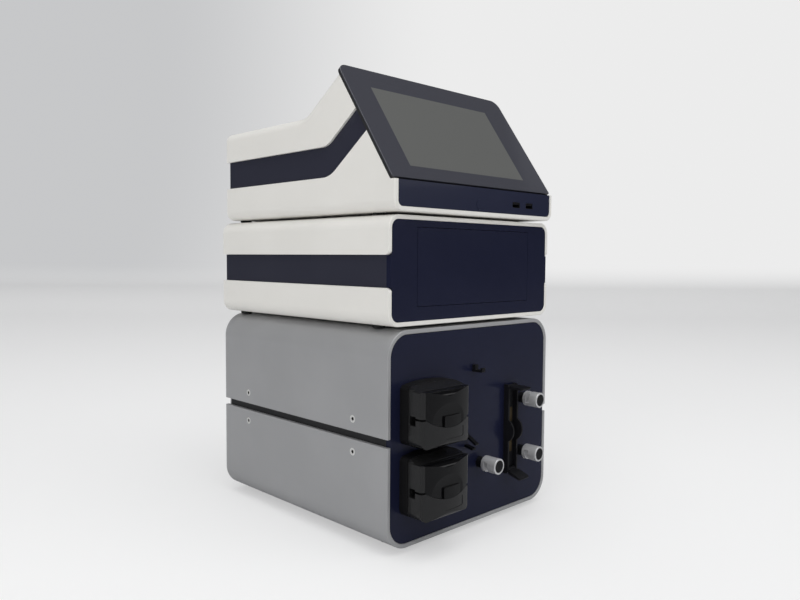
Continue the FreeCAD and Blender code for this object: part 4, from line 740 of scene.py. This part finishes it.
@dataclass(frozen=True)
class Lamp:
    """One soft rectangular lamp, with its size in metres and its power in watts."""

    name: str
    place: Point
    target: Point
    size: tuple[float, float]
    power: float

    def hang(self) -> None:
        """Adds the lamp to the scene, facing its target."""
        light = bpy.data.lights.new(self.name, "AREA")
        light.shape = "RECTANGLE"
        light.size, light.size_y = self.size
        light.energy = self.power
        holder = bpy.data.objects.new(self.name, light)
        aim = Vector(self.target) - Vector(self.place)
        turn = aim.to_track_quat("-Z", "Y").to_matrix().to_4x4()
        holder.matrix_world = Matrix.Translation(self.place) @ turn
        bpy.context.scene.collection.objects.link(holder)


LAMPS = (
    Lamp("ceiling", (-0.4, -0.6, 2.4), (0.0, 0.0, 0.2), (2.6, 2.6), 41.0),
    Lamp("window", (-2.6, -0.6, 1.3), (0.0, 0.0, 0.25), (1.8, 1.8), 17.5),
    Lamp("room", (1.6, -2.4, 1.5), (0.0, 0.0, 0.25), (1.6, 1.8), 12.0),
)


@dataclass(frozen=True)
class Backdrop:
    """Pale paper that runs back over the table and curves up into a wall.

    Run is the distance from the middle along the camera's yaw, and across is square to it.
    A pair of distances says where a change of tone starts and ends. Over the rim the paper takes
    the world's tone, so that its edges don't show.
    """

    yaw: float
    front: float = -4.0
    bend_run: float = 2.6
    bend_radius: float = 1.6
    bend_steps: int = 12
    top: float = 5.5
    half_width: float = 6.0
    floor_tone: Colour = (0.97, 0.97, 0.975)
    wall_shade: Colour = (0.57, 0.575, 0.585)
    wall_light: Colour = (0.84, 0.84, 0.84)
    paper: Colour = (0.90, 0.90, 0.895)
    mirror_tone: Colour = (0.05, 0.055, 0.07)
    mirror_share: float = 0.60
    floor_glow: float = 0.45
    wall_rise: tuple[float, float] = (0.01, 0.25)
    wall_fade: tuple[float, float] = (-1.7, 0.4)
    side_rim: tuple[float, float] = (3.2, 5.8)
    front_rim: tuple[float, float] = (2.2, 3.8)

    def profile(self) -> list[tuple[float, float]]:
        """Side view of the paper.

        Returns:
            Run and rise of each point.
        """
        turn = math.pi / 2 / self.bend_steps
        bend = [(self.bend_run + self.bend_radius * math.sin(step * turn),
                 self.bend_radius * (1 - math.cos(step * turn)))
                for step in range(self.bend_steps + 1)]
        return [(self.front, 0.0), *bend, (self.bend_run + self.bend_radius, self.top)]

    def build(self) -> None:
        """Adds the paper to the scene."""
        ahead = Vector((math.sin(-self.yaw), math.cos(self.yaw), 0))
        across = Vector((ahead.y, -ahead.x, 0))
        made = bmesh.new()
        rows = []
        for run, rise in self.profile():
            rows.append([made.verts.new(ahead * run + across * side + Vector((0, 0, rise)))
                         for side in (-self.half_width, self.half_width)])
        for (a, b), (c, d) in zip(rows, rows[1:]):
            made.faces.new((a, b, d, c))
        mesh = bpy.data.meshes.new("sweep")
        made.to_mesh(mesh)
        made.free()
        mesh.shade_smooth()
        sweep = bpy.data.objects.new("sweep", mesh)
        bpy.context.scene.collection.objects.link(sweep)
        mesh.materials.append(self.material())

    def material(self) -> bpy.types.Material:
        """Makes the material, whose glow only the camera sees.

        Returns:
            The finished material.
        """
        graph = Graph("pale_sweep")
        tone = graph.noise(1.2, 2.0)
        x, y = graph.part(Along.X), graph.part(Along.Y)
        across = x * math.cos(self.yaw) + y * math.sin(self.yaw)
        run = y * math.cos(self.yaw) - x * math.sin(self.yaw)
        far = graph.part(Along.Z).step(*self.wall_rise)
        wall = graph.mix(across.step(*self.wall_fade), self.wall_shade, self.wall_light)
        rim = across.size().step(*self.side_rim).most((run * -1.0).step(*self.front_rim))
        shown = graph.mix(rim, graph.mix(far, self.floor_tone, wall), WORLD_TONE)
        paper = graph.node("ShaderNodeBsdfPrincipled", None,
                           {"Base Color": (*self.paper, 1.0), "Specular IOR Level": 0.2,
                            "Roughness": tone * 0.1 + 0.6})
        glow = graph.node("ShaderNodeEmission", None, {"Color": shown, "Strength": 1.0})
        seen = graph.node("ShaderNodeLightPath", output="Is Camera Ray")
        share = seen * far.most(self.floor_glow).most(rim)
        mirrored = graph.node("ShaderNodeLightPath", output="Is Glossy Ray")
        shade = graph.node("ShaderNodeEmission", None,
                           {"Color": (*self.mirror_tone, 1.0), "Strength": 1.0})
        real = graph.node("ShaderNodeMixShader", None,
                          {0: mirrored * self.mirror_share, 1: paper, 2: shade})
        graph.node_to_output(graph.node("ShaderNodeMixShader", None, {0: share, 1: real, 2: glow}))
        return graph.block


@dataclass
class Studio:
    """Camera, backdrop, lamps and world."""

    panel_y: float
    sole_z: float = 0.0055
    eye: Point = (-0.5882, -0.4883, 0.2812)
    yaw: float = math.radians(-44.265)
    pitch: float = math.radians(-3.3346)
    roll: float = math.radians(0.3674)
    lens: float = 32.59
    room_tone: Colour = (0.80, 0.81, 0.83)
    room_strength: float = 0.40
    mirrored_strength: float = 0.07

    def camera(self) -> None:
        """Sets the camera where the photograph was taken from."""
        level = math.cos(self.pitch)
        ahead = Vector((math.sin(-self.yaw) * level, math.cos(self.yaw) * level,
                        math.sin(self.pitch)))
        right = ahead.cross(Vector((0, 0, 1))).normalized()
        up = right.cross(ahead)
        side = right * math.cos(self.roll) + up * math.sin(self.roll)
        top = -right * math.sin(self.roll) + up * math.cos(self.roll)
        place = Vector(self.eye) + Vector((0, self.panel_y, self.sole_z))
        turn = Matrix((side, top, -ahead)).transposed().to_4x4()
        camera = bpy.data.cameras.new("photo_camera")
        camera.lens = self.lens
        camera.sensor_width = 36.0
        camera.clip_end = 50.0
        holder = bpy.data.objects.new("photo_camera", camera)
        holder.matrix_world = Matrix.Translation(place) @ turn
        bpy.context.scene.collection.objects.link(holder)
        bpy.context.scene.camera = holder

    def light(self) -> None:
        """Adds the lamps and an even world, dimmer where a surface mirrors it."""
        for lamp in LAMPS:
            lamp.hang()
        graph = Graph("even_room", world=True)
        seen = graph.node("ShaderNodeLightPath", output="Is Camera Ray")
        room, pale, dim = (
            graph.node("ShaderNodeBackground", None, {"Color": (*tone, 1.0), "Strength": strength})
            for tone, strength in ((self.room_tone, self.room_strength), (WORLD_TONE, 1.0),
                                   (self.room_tone, self.mirrored_strength)))
        mirrored = graph.node("ShaderNodeLightPath", output="Is Glossy Ray")
        around = graph.node("ShaderNodeMixShader", None, {0: mirrored, 1: room, 2: dim})
        sky = graph.node("ShaderNodeMixShader", None, {0: seen, 1: around, 2: pale})
        graph.node_to_output(sky)
        bpy.context.scene.world = graph.block
        bpy.context.scene.view_settings.view_transform = "Standard"

    def build(self) -> None:
        """Sets up the whole studio."""
        self.camera()
        Backdrop(self.yaw).build()
        self.light()


def main() -> None:
    """Builds the scene in order."""
    logging.basicConfig(level=logging.INFO, format="%(message)s")
    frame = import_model()
    dresser = Dresser(frame["nodes"], Finishes())
    for maker in (FlowUnit, TubePumps, PanelFittings, DrawerUnit, ScreenUnit):
        maker(dresser).build()
        log.info("%s is done", maker.__name__)
    Studio(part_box("flow_front_panel")[0][1]).build()


if __name__ == "__main__":
    main()
